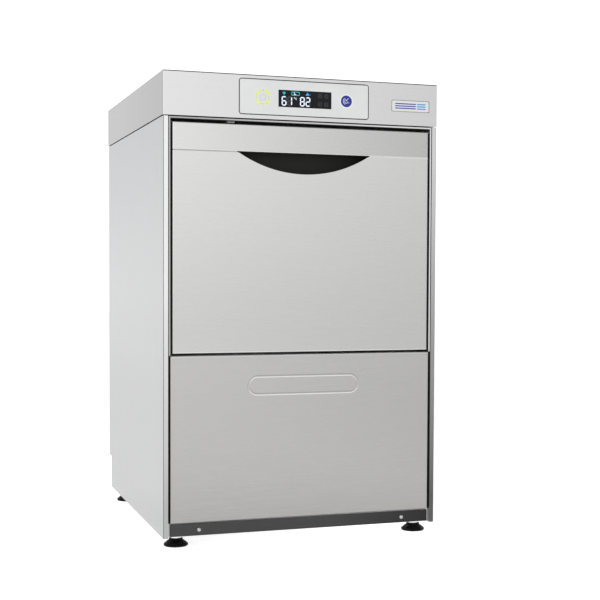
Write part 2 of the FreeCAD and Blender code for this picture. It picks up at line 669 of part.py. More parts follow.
def rinse_arm(low, up):
    """A thin round arm on a small hub, with a row of jets."""
    hub = rod("post_radius + 7", (0, 0, low), 7.5)
    tubes = rod("rinse_radius", ("-rinse_reach", 0, f"{low} + 3.75"), "2*rinse_reach", "x")
    bore = rod("post_radius + play", (0, 0, f"{low} - 5"), 40)
    jets = []
    for step in range(4):
        for side in (-1, 1):
            z = f"{low} + 3.75" if up > 0 else f"{low} - 1.2"
            jets.append(rod(2.2, (f"{side}*(50 + {step}*38)", 0, z), 4.9))
    return cut(join(tubes, hub, *jets), bore)


def make_arms():
    node("lower_wash_arm", wash_arm("arm_low", 1))
    node("lower_rinse_arm", rinse_arm("rinse_low", 1))
    node("upper_wash_arm", wash_arm("room_top - 30.5", -1))
    node("upper_rinse_arm", rinse_arm("room_top - 38.5", -1))


# ---- water, heat and power -----------------------------------------------------------------------------


def make_wash_circuit():
    duct = join(
        block((-22, 22), ("room_back + 3", "room_back + 23"), (235, "room_top + 18")),
        block((-22, 22), (-20, "room_back + 23"), ("room_top + 3", "room_top + 18")),
        rod(14, (0, 0, "room_top + skin"), 4),
    )
    hollow = join(
        block((-21, 21), ("room_back + 4", "room_back + 22"), (234, "room_top + 17")),
        block((-21, 21), (-19, "room_back + 22"), ("room_top + 4", "room_top + 17")),
        rod(10, (0, 0, "room_top - 1"), 6),
    )
    node("wash_riser", cut(duct, hollow))

    axis = ("sump_y", "pump_z")
    out_x = "pump_left + 20"
    out_y = "sump_y - 32"
    volute = join(
        rod("pump_radius", ("pump_left", *axis), "pump_right - pump_left", "x"),
        rod("suction_radius - hose_wall - play", ("pump_right - 2", *axis), 17, "x"),
        rod("delivery_radius - hose_wall - play", (out_x, out_y, "pump_z"), 58),
    )
    cavity = join(
        rod("pump_radius - 6", ("pump_left + 5", *axis), "pump_right - pump_left - 9", "x"),
        rod("suction_radius - hose_wall - 3", ("pump_right - 6", *axis), 30, "x"),
        rod("delivery_radius - hose_wall - 3", (out_x, out_y, "pump_z"), 70),
        rod("post_radius - 0.5", ("pump_left - 5", *axis), 20, "x"),
    )
    node("wash_pump_housing", cut(volute, cavity))

    ribs = [block(("motor_left + 12", "pump_left - 12"), (f"sump_y + {y} - 1.2", f"sump_y + {y} + 1.2"),
                  ("pump_z + motor_radius - 12", "pump_z + motor_radius + 4")) for y in (-20, -12, -4, 4,
                                                                                         12, 20)]
    stator = cut(rod("motor_radius - 3", ("motor_left + 30", *axis), 60, "x"),
                 rod("motor_radius - 13.5", ("motor_left + 20", *axis), 80, "x"))
    can = cut(
        join(rod("motor_radius", ("motor_left", *axis), "pump_left - motor_left", "x"), *ribs,
             block((-170, -130), ("sump_y - 20", "sump_y + 20"), ("tray_floor", 60))),
        rod("motor_radius - 4", ("motor_left + 4", *axis), "pump_left - motor_left - 8", "x"),
        rod("post_radius - 2 + play", ("motor_left - 5", *axis), 300, "x"),
    )
    node("wash_pump_motor", join(can, stator))
    shaft = rod("post_radius - 2", ("motor_left - 3", *axis), "pump_right - motor_left - 7", "x")
    core = rod("motor_radius - 14", ("motor_left + 28", *axis), 64, "x")
    fan = rod("motor_radius - 8", ("motor_left + 10", *axis), 5, "x")
    disc = rod("pump_radius - 12", ("pump_left + 12", *axis), 3, "x")
    vanes = [block(("pump_left + 14", "pump_left + 24"), ("sump_y - 1.5", "sump_y + 1.5"),
                   ("pump_z - 34", "pump_z + 34")),
             block(("pump_left + 14", "pump_left + 24"), ("sump_y - 34", "sump_y + 34"),
                   ("pump_z - 1.5", "pump_z + 1.5"))]
    node("wash_pump_rotor", join(shaft, core, fan, disc, *vanes))

    y, z, wall = size("sump_y"), size("pump_z"), size("hose_wall")
    down = [Vector(0, y, size("sump_low") - 2), Vector(0, y, z), Vector(size("pump_right") + 1, y, z)]
    node("suction_hose", feature(tube([down], size("suction_radius"), wall, 36)))
    x, y = size("pump_left") + 20, y - 32
    stem = [Vector(x, y, z + 48), Vector(x, y, 182), Vector(0, 0, 182),
            Vector(0, 0, size("tank_low") - 24)]
    back = size("room_back") + 13
    branch = [Vector(x, y, 174), Vector(x, 170, 174), Vector(0, back, 174), Vector(0, back, 235)]
    node("delivery_hose", feature(tube([stem, branch], size("delivery_radius"), wall, 16)))


# ---- rinse, supply and drain ---------------------------------------------------------------------------


def make_boiler():
    centre = ("boiler_x", "boiler_y")
    legs = [rod(5, (f"boiler_x + {dx}", f"boiler_y + {dy}", "tray_floor"), "boiler_low - tray_floor + 1")
            for dx in (-36, 36) for dy in (-36, 36)]
    can = join(
        rod("boiler_radius", (*centre, "boiler_low"), "boiler_top - boiler_low"),
        rod("rinse_tube + 2", (*centre, "boiler_top - 2"), 12),
        rod("rinse_tube + 2", ("inlet_x", "boiler_y + boiler_radius - 10", "port_z"), 26, "y"),
        *legs,
    )
    hollow = rod("boiler_radius - 1.5", (*centre, "boiler_low + 1.5"), "boiler_top - boiler_low - 3")
    node("rinse_boiler", cut(can, hollow, rod(24, (*centre, "boiler_low - 1"), 6),
                             rod("rinse_tube", (*centre, 150), 60)))
    flange = join(rod(30, (*centre, "boiler_low - 4"), 4), rod(23.9, (*centre, "boiler_low"), 3))
    x, y, low = size("boiler_x"), size("boiler_y"), size("boiler_low")
    loops = []
    for shift in (-14, 0, 14):
        corners = ((-12, 2), (-12, 120), (12, 120), (12, 2))
        loops.append(feature(swept([Vector(x + dx, y + shift, low + dz) for dx, dz in corners], 3.5, 11)))
    pins = [rod(2, (f"boiler_x + {dx}", f"boiler_y + {dy}", "boiler_low - 9"), 6) for dx in (-12, 12)
            for dy in (-14, 14)]
    node("boiler_heater", join(flange, *loops, *pins))

    reach, top, level = size("room_half") + 6.8, size("room_top") + 10.5, size("boiler_top") + 24
    upper = [Vector(x, y, size("boiler_top") + 10), Vector(x, y, level), Vector(reach, y, level),
             Vector(reach, y, top),
             Vector(60, y, top), Vector(60, 0, top), Vector(22, 0, top)]
    lower = [Vector(x + 20, y, level), Vector(0, y, level), Vector(0, -16.2, level)]
    node("rinse_hose", feature(tube([upper, lower], size("rinse_tube"), 1.5, 11)))


def make_supply_and_drain():
    valve = join(
        block(("inlet_x - 14", "inlet_x + 14"), ("notch_rear - 70", "notch_rear - 22"),
              ("port_z - 12", "port_z + 12")),
        rod(13, ("inlet_x", "notch_rear - 50", "port_z + 8"), 36),
        rod("rinse_tube + 2", ("inlet_x", "boiler_y + boiler_radius + 16", "port_z"),
            "notch_rear - boiler_y - boiler_radius - 81", "y"),
        rod(17, ("inlet_x", "notch_rear - 6", "port_z"), 6, "y"),
        rod("inlet_radius - 0.6", ("inlet_x", "notch_rear - 23", "port_z"), 30, "y"),
        rod("inlet_radius + 3", ("inlet_x", "notch_rear + skin + 0.2", "port_z"),
            "port_collar - skin - 0.2", "y"),
        rod("inlet_radius", ("inlet_x", "notch_rear + port_collar", "port_z"), 18, "y"),
    )
    node("inlet_valve", cut(valve,
                            rod("inlet_radius - 4", ("inlet_x", "notch_rear + 4", "port_z"), 30, "y")))

    outlet = cut(
        join(rod("outlet_radius - 0.5", ("outlet_x", "sump_y + 44", "port_z"), "notch_rear - sump_y - 40",
                 "y"),
             rod("outlet_radius + 5", ("outlet_x", "notch_rear - 5", "port_z"), 5, "y"),
             rod("outlet_radius + 3", ("outlet_x", "notch_rear + skin + 0.2", "port_z"),
                 "port_collar - skin - 0.2", "y"),
             rod("outlet_radius", ("outlet_x", "notch_rear + port_collar", "port_z"), 20, "y")),
        rod("outlet_radius - 2.5", ("outlet_x", "sump_y + 40", "port_z"), 130, "y"),
    )
    node("drain_spigot", outlet)
    gland = cut(
        join(rod(10, ("gland_x", "notch_rear - 8", "port_z"), 24, "y"),
             rod(14, ("gland_x", "notch_rear - 7", "port_z"), 7, "y"),
             rod(14, ("gland_x", "notch_rear + skin", "port_z"), 8, "y")),
        rod(5, ("gland_x", "notch_rear - 20", "port_z"), 60, "y"),
    )
    node("mains_gland", gland)

    pump = join(
        rod(24, ("outlet_x - 22", "sump_y + 20", 70), 44, "x"),
        block(("outlet_x - 10", "outlet_x + 30"), ("sump_y + 2", "sump_y + 38"), ("tray_floor", 88)),
        block(("outlet_x - 9", "outlet_x + 9"), ("sump_y + 30", "sump_y + 44"),
              ("port_z - 9", "port_z + 9")),
        rod(9, ("outlet_x - 10", "sump_y + 20", 85), 24),
    )
    node("drain_pump", pump)
    x, y = size("outlet_x") - 10, size("sump_y")
    drop = [Vector(34, y, size("sump_low") - 1), Vector(34, y, 150), Vector(x, y + 20, 140),
            Vector(x, y + 20, 109)]
    node("drain_hose", feature(tube([drop], 8.5, 2.5, 18)))


def make_dosers_and_electrics():
    pumps = []
    for x in (-160, -90):
        head = rounded(rod(27, (x, -228, 110), 22, "y"), 2, lambda b: b.YMax < -227)
        motor = rod(19, (x, -206, 110), 46, "y")
        back = block((x - 31, x + 31), (-206, -203.5), ("tray_floor", 140))
        base = block((x - 31, x + 31), (-206, -180), ("tray_floor", "tray_floor + 2"))
        ports = [rod(4, (x + dx, -217, 130), 26) for dx in (-12, 12)]
        pumps.append(join(head, motor, back, base, *ports))
    node("dosing_pumps", group(*pumps))

    body = block((-20, 55), (-222, -196), ("tray_floor", 44))
    towers = [block((-17 + 15 * n, -6 + 15 * n), (-218, -200), (44, 54)) for n in range(5)]
    node("terminal_block", join(body, *towers))

    board = block((-180, -50), (-180, 20), (672, 673.6))
    posts = [rod(3, (x, y, "room_top + skin"), "672 - room_top - skin") for x in (-174, -56)
             for y in (-174, 14)]
    relays = [block((-170 + 24 * n, -152 + 24 * n), (-30, 0), (673.6, 690)) for n in range(4)]
    transformer = block((-165, -115), (-160, -110), (673.6, 702))
    caps = [rod(7, (-90 + 18 * n, -135, 673.6), 24) for n in range(2)]
    node("control_board", join(board, *posts, *relays, transformer, *caps))


# ---- levelling feet ------------------------------------------------------------------------------------


def make_feet():
    bore = "stud_radius + 0.02"
    for label, (x, y) in FEET.items():
        pad = turned([
            (0, 0), ("pad_radius - 2", 0), ("pad_radius", 1.5), ("pad_radius", 3.5), (15, 6.5), (10, 9.5),
            (8.5, 12),
            (bore, 12), (bore, 4), (0, 4),
        ])
        stud = turned([(0, 4), ("stud_radius", 4), ("stud_radius", "stud_top - 1"),
                       ("stud_radius - 1", "stud_top"),
                       (0, "stud_top")])
        collar = doc.addObject("Part::Prism", "Collar")
        collar.Polygon = 6
        put(bind(collar, Circumradius="stud_radius + 4.5", Height=3.8), x, y, 12.2)
        node(label, group(put(pad, x, y, 0), join(put(stud, x, y, 0), collar)))


# ---- build, check and write ----------------------------------------------------------------------------


def check_and_write():
    doc.recompute()
    failed = [o.Label for o in doc.Objects if "Invalid" in o.State or "Error" in o.State]
    if failed:
        raise RuntimeError(f"these objects failed: {failed}")
    for label, thing in nodes.items():
        shape = thing.Shape
        if shape.isNull() or not shape.isValid() or not shape.Solids:
            raise RuntimeError(f"{label} has no valid solid")
    os.makedirs("parts", exist_ok=True)
    for label, thing in nodes.items():
        thing.Shape.exportStep(f"parts/{label}.step")


make_lid()
make_side_panels()
make_back_panel()
make_screws()
make_base_tray()
make_kick_plate()
make_front_panel()
make_front_frame()
make_control_panel()
make_door()
make_chamber()
make_spindles()
make_arms()
make_wash_circuit()
make_boiler()
make_supply_and_drain()
make_dosers_and_electrics()
make_feet()
check_and_write()
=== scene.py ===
import math

import bmesh
import bpy
from mathutils import Matrix, Vector


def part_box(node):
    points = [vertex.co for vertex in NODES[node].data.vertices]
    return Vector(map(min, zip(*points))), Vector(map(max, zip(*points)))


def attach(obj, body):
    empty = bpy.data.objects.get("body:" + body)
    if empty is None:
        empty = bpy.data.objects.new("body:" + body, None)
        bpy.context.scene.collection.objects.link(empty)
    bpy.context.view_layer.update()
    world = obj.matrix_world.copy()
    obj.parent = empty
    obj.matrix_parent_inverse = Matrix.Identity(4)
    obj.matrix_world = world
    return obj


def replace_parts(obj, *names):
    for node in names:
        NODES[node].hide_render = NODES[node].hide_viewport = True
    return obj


# A glass washer on a pale studio floor. Everything is in metres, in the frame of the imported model: the
# origin is on the floor under the middle of the machine, +X is the user's right, +Y is the back and +Z is
# up. Sizes in the builders below are given in millimetres and scaled by MM.

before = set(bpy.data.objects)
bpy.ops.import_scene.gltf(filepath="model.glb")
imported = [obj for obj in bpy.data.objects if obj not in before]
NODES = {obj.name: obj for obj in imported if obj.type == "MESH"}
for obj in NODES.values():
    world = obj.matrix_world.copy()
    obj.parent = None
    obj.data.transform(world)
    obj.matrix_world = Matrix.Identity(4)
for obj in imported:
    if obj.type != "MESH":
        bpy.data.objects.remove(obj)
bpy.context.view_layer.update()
MM = 0.001
GRAIN_DEPTH = 0.00004


# ---- camera, light and floor -----------------------------------------------------------------------------


def make_camera():
    """A long lens in front of the machine and to its left, level with the middle of the door."""
    heading, tilt, roll = 0.33503, 0.03833, 0.00514
    level = math.cos(tilt)
    ahead = Vector((math.sin(heading) * level, math.cos(heading) * level, -math.sin(tilt)))
    data = bpy.data.cameras.new("camera")
    data.sensor_width = 36
    data.lens = 75.87
    data.shift_x = -0.0667
    data.shift_y = 0.0333
    camera = bpy.data.objects.new("camera", data)
    bpy.context.scene.collection.objects.link(camera)
    turn = ahead.to_track_quat("-Z", "Y").to_matrix().to_4x4() @ Matrix.Rotation(roll, 4, "Z")
    camera.matrix_world = Matrix.Translation((-0.6015, -2.1641, 0.4268)) @ turn
    bpy.context.scene.camera = camera


def make_area_light(name, place, target, size, power):
    data = bpy.data.lights.new(name, "AREA")
    data.shape = "RECTANGLE"
    data.size, data.size_y = size
    data.energy = power
    light = bpy.data.objects.new(name, data)
    bpy.context.scene.collection.objects.link(light)
    light.location = place
    light.rotation_mode = "QUATERNION"
    light.rotation_quaternion = (Vector(target) - Vector(place)).to_track_quat("-Z", "Y")


def make_world():
    """A white studio with a darker ceiling, and a grey flag in front on the right."""
    world = bpy.data.worlds.new("studio")
    bpy.context.scene.world = world
    world.use_nodes = True
    shade = Nodes(world.node_tree)
    background = shade.node("Background")
    shade.link(background.outputs[0], shade.node("OutputWorld").inputs[0])
    split = shade.node("SeparateXYZ")
    shade.link(shade.node("TexCoord").outputs["Generated"], split.inputs[0])
    flag = shade.ramp(split.outputs["X"], 1.0, 0.58, 0.14, 0.48)
    behind = shade.rise(split.outputs["Y"], 0.0, 0.2)
    ceiling = shade.ramp(split.outputs["Z"], 1.0, 0.16, 0.45, 0.85)
    walls = shade.mix(behind, flag, (1, 1, 1))
    shade.link(shade.mix(ceiling, (0.10, 0.10, 0.10), walls), background.inputs["Color"])
    background.inputs["Strength"].default_value = 1.2


def make_stage():
    reach = 12
    corners = [(-reach, -reach, 0), (reach, -reach, 0), (reach, reach, 0), (-reach, reach, 0)]
    mesh = bpy.data.meshes.new("floor")
    mesh.from_pydata(corners, [], [(0, 1, 2, 3)])
    floor = bpy.data.objects.new("floor", mesh)
    bpy.context.scene.collection.objects.link(floor)
    shade = Shade("floor_white")
    near = shade.math("ADD", shade.axis("Y"), 2.0)
    sweep = shade.ramp(shade.noise(3, detail=4), (0.90, 0.90, 0.90), (0.93, 0.93, 0.93))
    shade.paint(shade.mix(shade.rise(near, 0.1, 1.0), (0.70, 0.70, 0.69), sweep))
    # Painted light: the floor glows, more from about a metre in front onwards, and most in a band as wide
    # as the machine, which lifts its shadow.
    glow = shade.ramp(near, 0.26, 0.42, 0.1, 1.0)
    under = shade.ramp(shade.distance(Vector((0, 0, 0))), 0.24, 0.0, 0.35, 0.80)
    shade.link(shade.math("ADD", glow, under), shade.shader.inputs["Emission Strength"])
    shade.set(Roughness=0.7, Emission_Color=(1, 1, 1, 1))
    mesh.materials.append(shade.material)


# ---- materials -------------------------------------------------------------------------------------------


class Nodes:
    """Helpers that build a node tree."""

    def __init__(self, tree):
        self.tree = tree
        tree.nodes.clear()

    def node(self, kind, **inputs):
        made = self.tree.nodes.new(f"ShaderNode{kind}")
        for name, value in inputs.items():
            made.inputs[name.replace("_", " ")].default_value = value
        return made

    def link(self, source, target):
        self.tree.links.new(source, target)

    def math(self, operation, source, other=None):
        made = self.node("Math")
        made.operation = operation
        self.link(source, made.inputs[0])
        if isinstance(other, (int, float)):
            made.inputs[1].default_value = other
        elif other is not None:
            self.link(other, made.inputs[1])
        return made.outputs[0]

    def ramp(self, source, low, high, start=0.3, end=0.7):
        """A grey or a colour that runs between two ends as the source goes from start to end."""
        if start < 0:
            span = self.node("MapRange", From_Min=start, From_Max=end)
            self.link(source, span.inputs[0])
            source, start, end = span.outputs[0], 0.0, 1.0
        made = self.node("ValToRGB")
        made.color_ramp.elements[0].position = start
        made.color_ramp.elements[1].position = end
        for element, value in zip(made.color_ramp.elements, (low, high)):
            element.color = (*value, 1) if isinstance(value, tuple) else (value, value, value, 1)
        self.link(source, made.inputs[0])
        return made.outputs[0]

    def rise(self, source, start, end):
        """Goes from 0 to 1 as the source goes from start to end."""
        return self.ramp(source, 0.0, 1.0, start, end)

    def fall(self, source, start, end):
        """Goes from 1 to 0 as the source goes from start to end."""
        return self.ramp(source, 1.0, 0.0, start, end)

    def mix(self, factor, first, second):
        """A colour between two, either of which may be plain."""
        made = self.node("Mix")
        made.data_type = "RGBA"
        self.link(factor, made.inputs[0])
        for source, socket in ((first, made.inputs[6]), (second, made.inputs[7])):
            if isinstance(source, tuple):
                socket.default_value = (*source, 1)
            else:
                self.link(source, socket)
        return made.outputs[2]


class Shade(Nodes):
    """A material on one Principled shader, with patterns in object space."""

    def __init__(self, name):
        self.material = bpy.data.materials.new(name)
        self.material.use_nodes = True
        super().__init__(self.material.node_tree)
        self.shader = self.node("BsdfPrincipled")
        self.link(self.shader.outputs[0], self.node("OutputMaterial").inputs[0])
        self.place = self.node("TexCoord").outputs["Object"]

    def set(self, **values):
        for name, value in values.items():
            self.shader.inputs[name.replace("_", " ")].default_value = value
        return self

    def noise(self, scale, stretch=(1, 1, 1), detail=3, roughness=0.5):
        """Noise with about this many cycles a metre, times a factor along each axis."""
        mapping = self.node("Mapping")
        mapping.inputs["Scale"].default_value = stretch
        self.link(self.place, mapping.inputs[0])
        texture = self.node("TexNoise", Scale=scale, Detail=detail, Roughness=roughness)
        self.link(mapping.outputs[0], texture.inputs["Vector"])
        return texture.outputs[0]

    def paint(self, colour):
        self.link(colour, self.shader.inputs["Base Color"])
        return self

    def tint(self, amount, tone):
        """Turns the base colour towards a tone, by an amount from 0 to 1."""
        plain = self.shader.inputs["Base Color"].links[0].from_socket
        return self.paint(self.mix(amount, plain, tone))

    def colour(self, source, low, high, start=0.3, end=0.7):
        return self.paint(self.ramp(source, low, high, start, end))

    def roughness(self, source, low, high):
        self.link(self.ramp(source, low, high), self.shader.inputs["Roughness"])
        return self

    def bump(self, source, strength, depth):
        made = self.node("Bump", Strength=strength, Distance=depth)
        self.link(source, made.inputs["Height"])
        self.link(made.outputs[0], self.shader.inputs["Normal"])
        return self

    def axis(self, name):
        """One coordinate of the place on the object, in metres."""
        split = self.node("SeparateXYZ")
        self.link(self.place, split.inputs[0])
        return split.outputs[name]

    def normal(self, name):
        """One part of the direction the surface faces."""
        split = self.node("SeparateXYZ")
        self.link(self.node("NewGeometry").outputs["Normal"], split.inputs[0])
        return split.outputs[name]

    def distance(self, centre):
        """How far a point is from an axis that runs front to back, in metres."""
        offset = self.node("VectorMath")
        offset.operation = "SUBTRACT"
        self.link(self.place, offset.inputs[0])
        offset.inputs[1].default_value = centre
        flat = self.node("VectorMath")
        flat.operation = "MULTIPLY"
        self.link(offset.outputs[0], flat.inputs[0])
        flat.inputs[1].default_value = (1, 0, 1)
        length = self.node("VectorMath")
        length.operation = "LENGTH"
        self.link(flat.outputs[0], length.inputs[0])
        return length.outputs["Value"]


def grey(value, warm=0.0):
    return (value + warm, value + warm * 0.5, value - warm)


def brushed(name, tone, along="x", rough=(0.26, 0.33), warm=0.0, relief=0.03, painted_fade=None):
    """Brushed stainless steel: fine streaks along an axis and soft clouding.

    Where given, two heights in metres and the tone at each grade the steel from top to bottom: painted
    shade.
    """
    shade = Shade(name)
    stretch = {"x": (1, 90, 90), "y": (90, 1, 90), "z": (90, 90, 1)}[along]
    streaks = shade.noise(14, stretch, detail=6, roughness=0.7)
    clouds = shade.noise(3, detail=2)
    fine = shade.ramp(streaks, grey(tone - 0.014, warm), grey(tone + 0.014, warm), 0.2, 0.8)
    colour = shade.mix(shade.ramp(clouds, 0.15, 0.6), fine, grey(tone, warm))
    if painted_fade:
        (z0, below), (z1, above) = painted_fade
        # Painted shade: a tone graded by height, laid over most of the streaks.
        painted_gradient = shade.mix(shade.rise(shade.axis("Z"), z0, z1), grey(below, warm), grey(above, warm))
        colour = shade.mix(shade.ramp(streaks, 0.75, 0.95), colour, painted_gradient)
    shade.paint(colour)
    shade.roughness(streaks, *rough)
    shade.bump(streaks, relief, GRAIN_DEPTH)
    return shade.set(Metallic=1.0, Anisotropic=0.35)


def side_steel():
    """The side panels, paler on the folded front posts than on the flats and dark round the bend: painted
    shade.
    """
    shade = brushed("steel_side", 0.68, "z", (0.28, 0.36), warm=-0.004)
    height = shade.axis("Z")
    # Painted shade: the flats are darker towards the top and again at the foot.
    flat = shade.mix(shade.rise(height, 0.34, 0.66), grey(0.56, -0.004), grey(0.43, -0.006))
    flat = shade.mix(shade.fall(height, 0.05, 0.30), flat, grey(0.395, -0.002))
    # Painted light: each post is lighter towards the top, and the right-hand post is darker than the left.
    left = shade.mix(shade.rise(height, 0.06, 0.40), grey(0.38), grey(0.84))
    right = shade.mix(shade.rise(height, 0.06, 0.62), grey(0.10), grey(0.72))
    post = shade.mix(shade.rise(shade.axis("X"), -0.01, 0.01), left, right)
    turned = shade.math("ABSOLUTE", shade.normal("X"))
    # Painted shade: a dark line on the faces that turn round the bend.
    bend_shade = shade.mix(shade.rise(turned, 0.03, 0.20), post, grey(0.10))
    colour = shade.mix(shade.rise(turned, 0.80, 0.97), bend_shade, flat)
    front = shade.fall(shade.axis("Y"), -0.255, -0.250)
    rest = shade.mix(shade.rise(turned, 0.55, 0.85), grey(0.60), flat)
    return shade.paint(shade.mix(front, rest, colour))


def frame_steel():
    """The frame round the door, paler on its right-hand side: painted light."""
    shade = brushed("steel_frame", 0.42, "z", (0.24, 0.32))
    return shade.tint(shade.rise(shade.axis("X"), -0.15, 0.15), grey(0.78))


def panel_steel():
    """The lower panel: painted shade makes it a little brighter towards its top, and a painted highlight
    runs along its top fold.
    """
    painted_fade = ((0.04, 0.315), (0.28, 0.525))
    shade = brushed("steel_panel", 0.49, "x", (0.26, 0.33), warm=0.006, painted_fade=painted_fade)
    return shade.tint(shade.rise(shade.normal("Z"), 0.1, 0.4), grey(0.95))


def handle_steel():
    """The strip over the finger grip, darker towards its right-hand end: painted shade."""
    shade = brushed("steel_handle", 0.70, "x", (0.22, 0.29), warm=0.002)
    return shade.tint(shade.rise(shade.axis("X"), -0.20, 0.20), grey(0.56, 0.002))


def kick_steel():
    """The dark kick plate, with painted shade making it darkest towards its right-hand end."""
    shade = brushed("kick_grey", 0.060, "x", (0.34, 0.44))
    return shade.tint(shade.rise(shade.axis("X"), 0.04, 0.21), grey(0.032))


def lid_steel():
    """The lid: painted shade makes its ends darker, and a painted dark reflection draws a line where the
    top is folded over.
    """
    shade = brushed("steel_lid", 0.72, "x", (0.22, 0.29))
    ends = shade.rise(shade.math("ABSOLUTE", shade.normal("X")), 0.55, 0.85)
    rising = shade.normal("Z")
    # Painted dark reflection on the rounded fold of the top.
    fold = shade.math("MULTIPLY", shade.rise(rising, 0.0, 0.06), shade.fall(rising, 0.97, 0.995))
    end_tone = shade.mix(shade.rise(shade.axis("Y"), -0.26, 0.10), grey(0.275), grey(0.315))
    return shade.tint(ends, end_tone).tint(fold, grey(0.012))


def pressed_steel():
    """The pressed rib on the lower panel: painted shade on its upper slope, and a painted highlight on its
    lower one.
    """
    shade = brushed("steel_pressed", 0.50, "x", (0.26, 0.33), warm=0.006)
    slope = shade.math("ADD", shade.normal("Z"), shade.math("MULTIPLY", shade.normal("X"), -0.5))
    return shade.paint(shade.mix(shade.rise(slope, -0.2, 0.2), grey(0.64, 0.006), grey(0.36, 0.006)))


def plastic(name, tone, rough=(0.4, 0.55), grain=900, relief=0.15, coat=0.0, spread=0.06, shine=0.5):
    """Moulded plastic with a fine spark-eroded grain and a slight unevenness of colour."""
    shade = Shade(name)
    low, high = (tuple(part * (1 + way * spread) for part in tone) for way in (-1, 1))
    shade.colour(shade.noise(25, detail=3), low, high)
    fine = shade.noise(grain, detail=2)
    shade.roughness(fine, *rough)
    shade.bump(fine, relief, GRAIN_DEPTH)
    return shade.set(Coat_Weight=coat, Coat_Roughness=0.08, Specular_IOR_Level=shine)


def bezel_plastic(halo_centre, halo_radius):
    """Light grey satin plastic, with a white ring printed round the start button."""
    shade = Shade("bezel_plastic")
    base = shade.ramp(shade.noise(25, detail=3), (0.66, 0.68, 0.67), (0.70, 0.72, 0.71))
    halo = shade.fall(shade.distance(halo_centre), halo_radius - 0.0003, halo_radius + 0.0003)
    shade.paint(shade.mix(halo, base, (0.98, 0.98, 0.98)))
    fine = shade.noise(1100, detail=2)
    shade.roughness(fine, 0.34, 0.46)
    shade.bump(fine, 0.08, 0.00003)
    shade.set(Coat_Weight=0.1, Coat_Roughness=0.12)
    return shade


def rubber(name, tone=0.015):
    """Matt black rubber with a dusty bloom."""
    shade = Shade(name)
    shade.colour(shade.noise(60, detail=5), (tone, tone, tone), (tone * 1.9, tone * 1.9, tone * 1.95))
    fine = shade.noise(1400, detail=2)
    shade.roughness(fine, 0.55, 0.75)
    shade.bump(fine, 0.25, 0.00005)
    return shade


def lit(name, tone, strength, edge=None):
    """A lit diffuser or legend, a little uneven across its width."""
    shade = Shade(name)
    shade.colour(shade.noise(220, detail=2), tone, edge or tone)
    shade.set(Roughness=0.45, Emission_Color=(*tone, 1), Emission_Strength=strength)
    return shade


def cast_metal(name, tone):
    shade = Shade(name)
    grain = shade.noise(500, detail=4)
    shade.colour(shade.noise(30, detail=4), grey(tone - 0.06), grey(tone + 0.06))
    shade.roughness(grain, 0.4, 0.6)
    shade.bump(grain, 0.3, 0.0001)
    shade.set(Metallic=1.0)
    return shade


def make_materials():
    start = middle("start_button")
    return {
        "side": side_steel(),
        "lid": lid_steel(),
        # The door carries painted shade, lighter towards its top.
        "door": brushed("steel_door", 0.65, "x", (0.22, 0.29), warm=0.002,
                        painted_fade=((0.32, 0.61), (0.62, 0.70))),
        "handle": handle_steel(),
        "panel": panel_steel(),
        "pressed": pressed_steel(),
        "frame": frame_steel(),
        "inner": brushed("steel_inner", 0.66, "z", (0.26, 0.31), relief=0.015),
        "kick": kick_steel(),
        "bright": brushed("steel_bright", 0.80, "z", (0.12, 0.22)),
        "heater": brushed("steel_heater", 0.34, "x", (0.35, 0.5)),
        "motor": cast_metal("motor_cast", 0.50),
        "bezel": bezel_plastic(start, 0.0108),
        "button": plastic("button_grey", (0.68, 0.70, 0.69), (0.30, 0.40), coat=0.1, spread=0.02),
        "blue": plastic("button_blue", (0.010, 0.018, 0.24), (0.30, 0.40), coat=0.1),
        "display": plastic("display_black", (0.004, 0.005, 0.007), (0.16, 0.22), 200, 0.02, shine=0.2),
        "black": plastic("black_plastic", (0.014, 0.014, 0.015), (0.42, 0.58)),
        "charcoal": plastic("grip_charcoal", (0.008, 0.008, 0.007), (0.5, 0.65), shine=0.3),
        "foot": plastic("foot_rubber", (0.004, 0.004, 0.004), (0.34, 0.46), 1200, 0.2, shine=0.08),
        "screw": brushed("screw_steel", 0.52, "x", (0.2, 0.3)),
        "blackened": brushed("steel_blackened", 0.022, "z", (0.40, 0.52)),
        "grey": plastic("grey_plastic", (0.26, 0.27, 0.28)),
        "line": plastic("joint_grey", (0.035, 0.035, 0.037), (0.5, 0.6)),
        "white": plastic("white_plastic", (0.78, 0.78, 0.74)),
        "arm": plastic("arm_blue", (0.05, 0.14, 0.32), (0.22, 0.34), coat=0.3),
        "board": plastic("circuit_board", (0.02, 0.17, 0.07), (0.25, 0.4), 300, 0.3),
        "rubber": rubber("rubber_black"),
        "hose": rubber("hose_black", 0.025),
        "digit": lit("digit_white", (0.62, 0.68, 0.78), 0.6),
        "ghost": plastic("digit_ghost", (0.040, 0.044, 0.050), (0.2, 0.3)),
        "teal": lit("icon_teal", (0.02, 0.42, 0.47), 0.45),
        "sky": lit("icon_blue", (0.03, 0.27, 0.62), 0.45),
        "lime": lit("ring_lime", (0.42, 0.50, 0.02), 0.9),
        "legend": plastic("legend_grey", (0.52, 0.54, 0.55), (0.4, 0.5)),
        "pale": lit("legend_white", (0.80, 0.86, 1.0), 0.25),
        "navy": plastic("stripe_navy", (0.015, 0.06, 0.30), (0.3, 0.4)),
        "azure": plastic("stripe_azure", (0.03, 0.27, 0.68), (0.3, 0.4)),
        "badge": brushed("badge_metal", 0.86, "x", (0.20, 0.28)),
    }


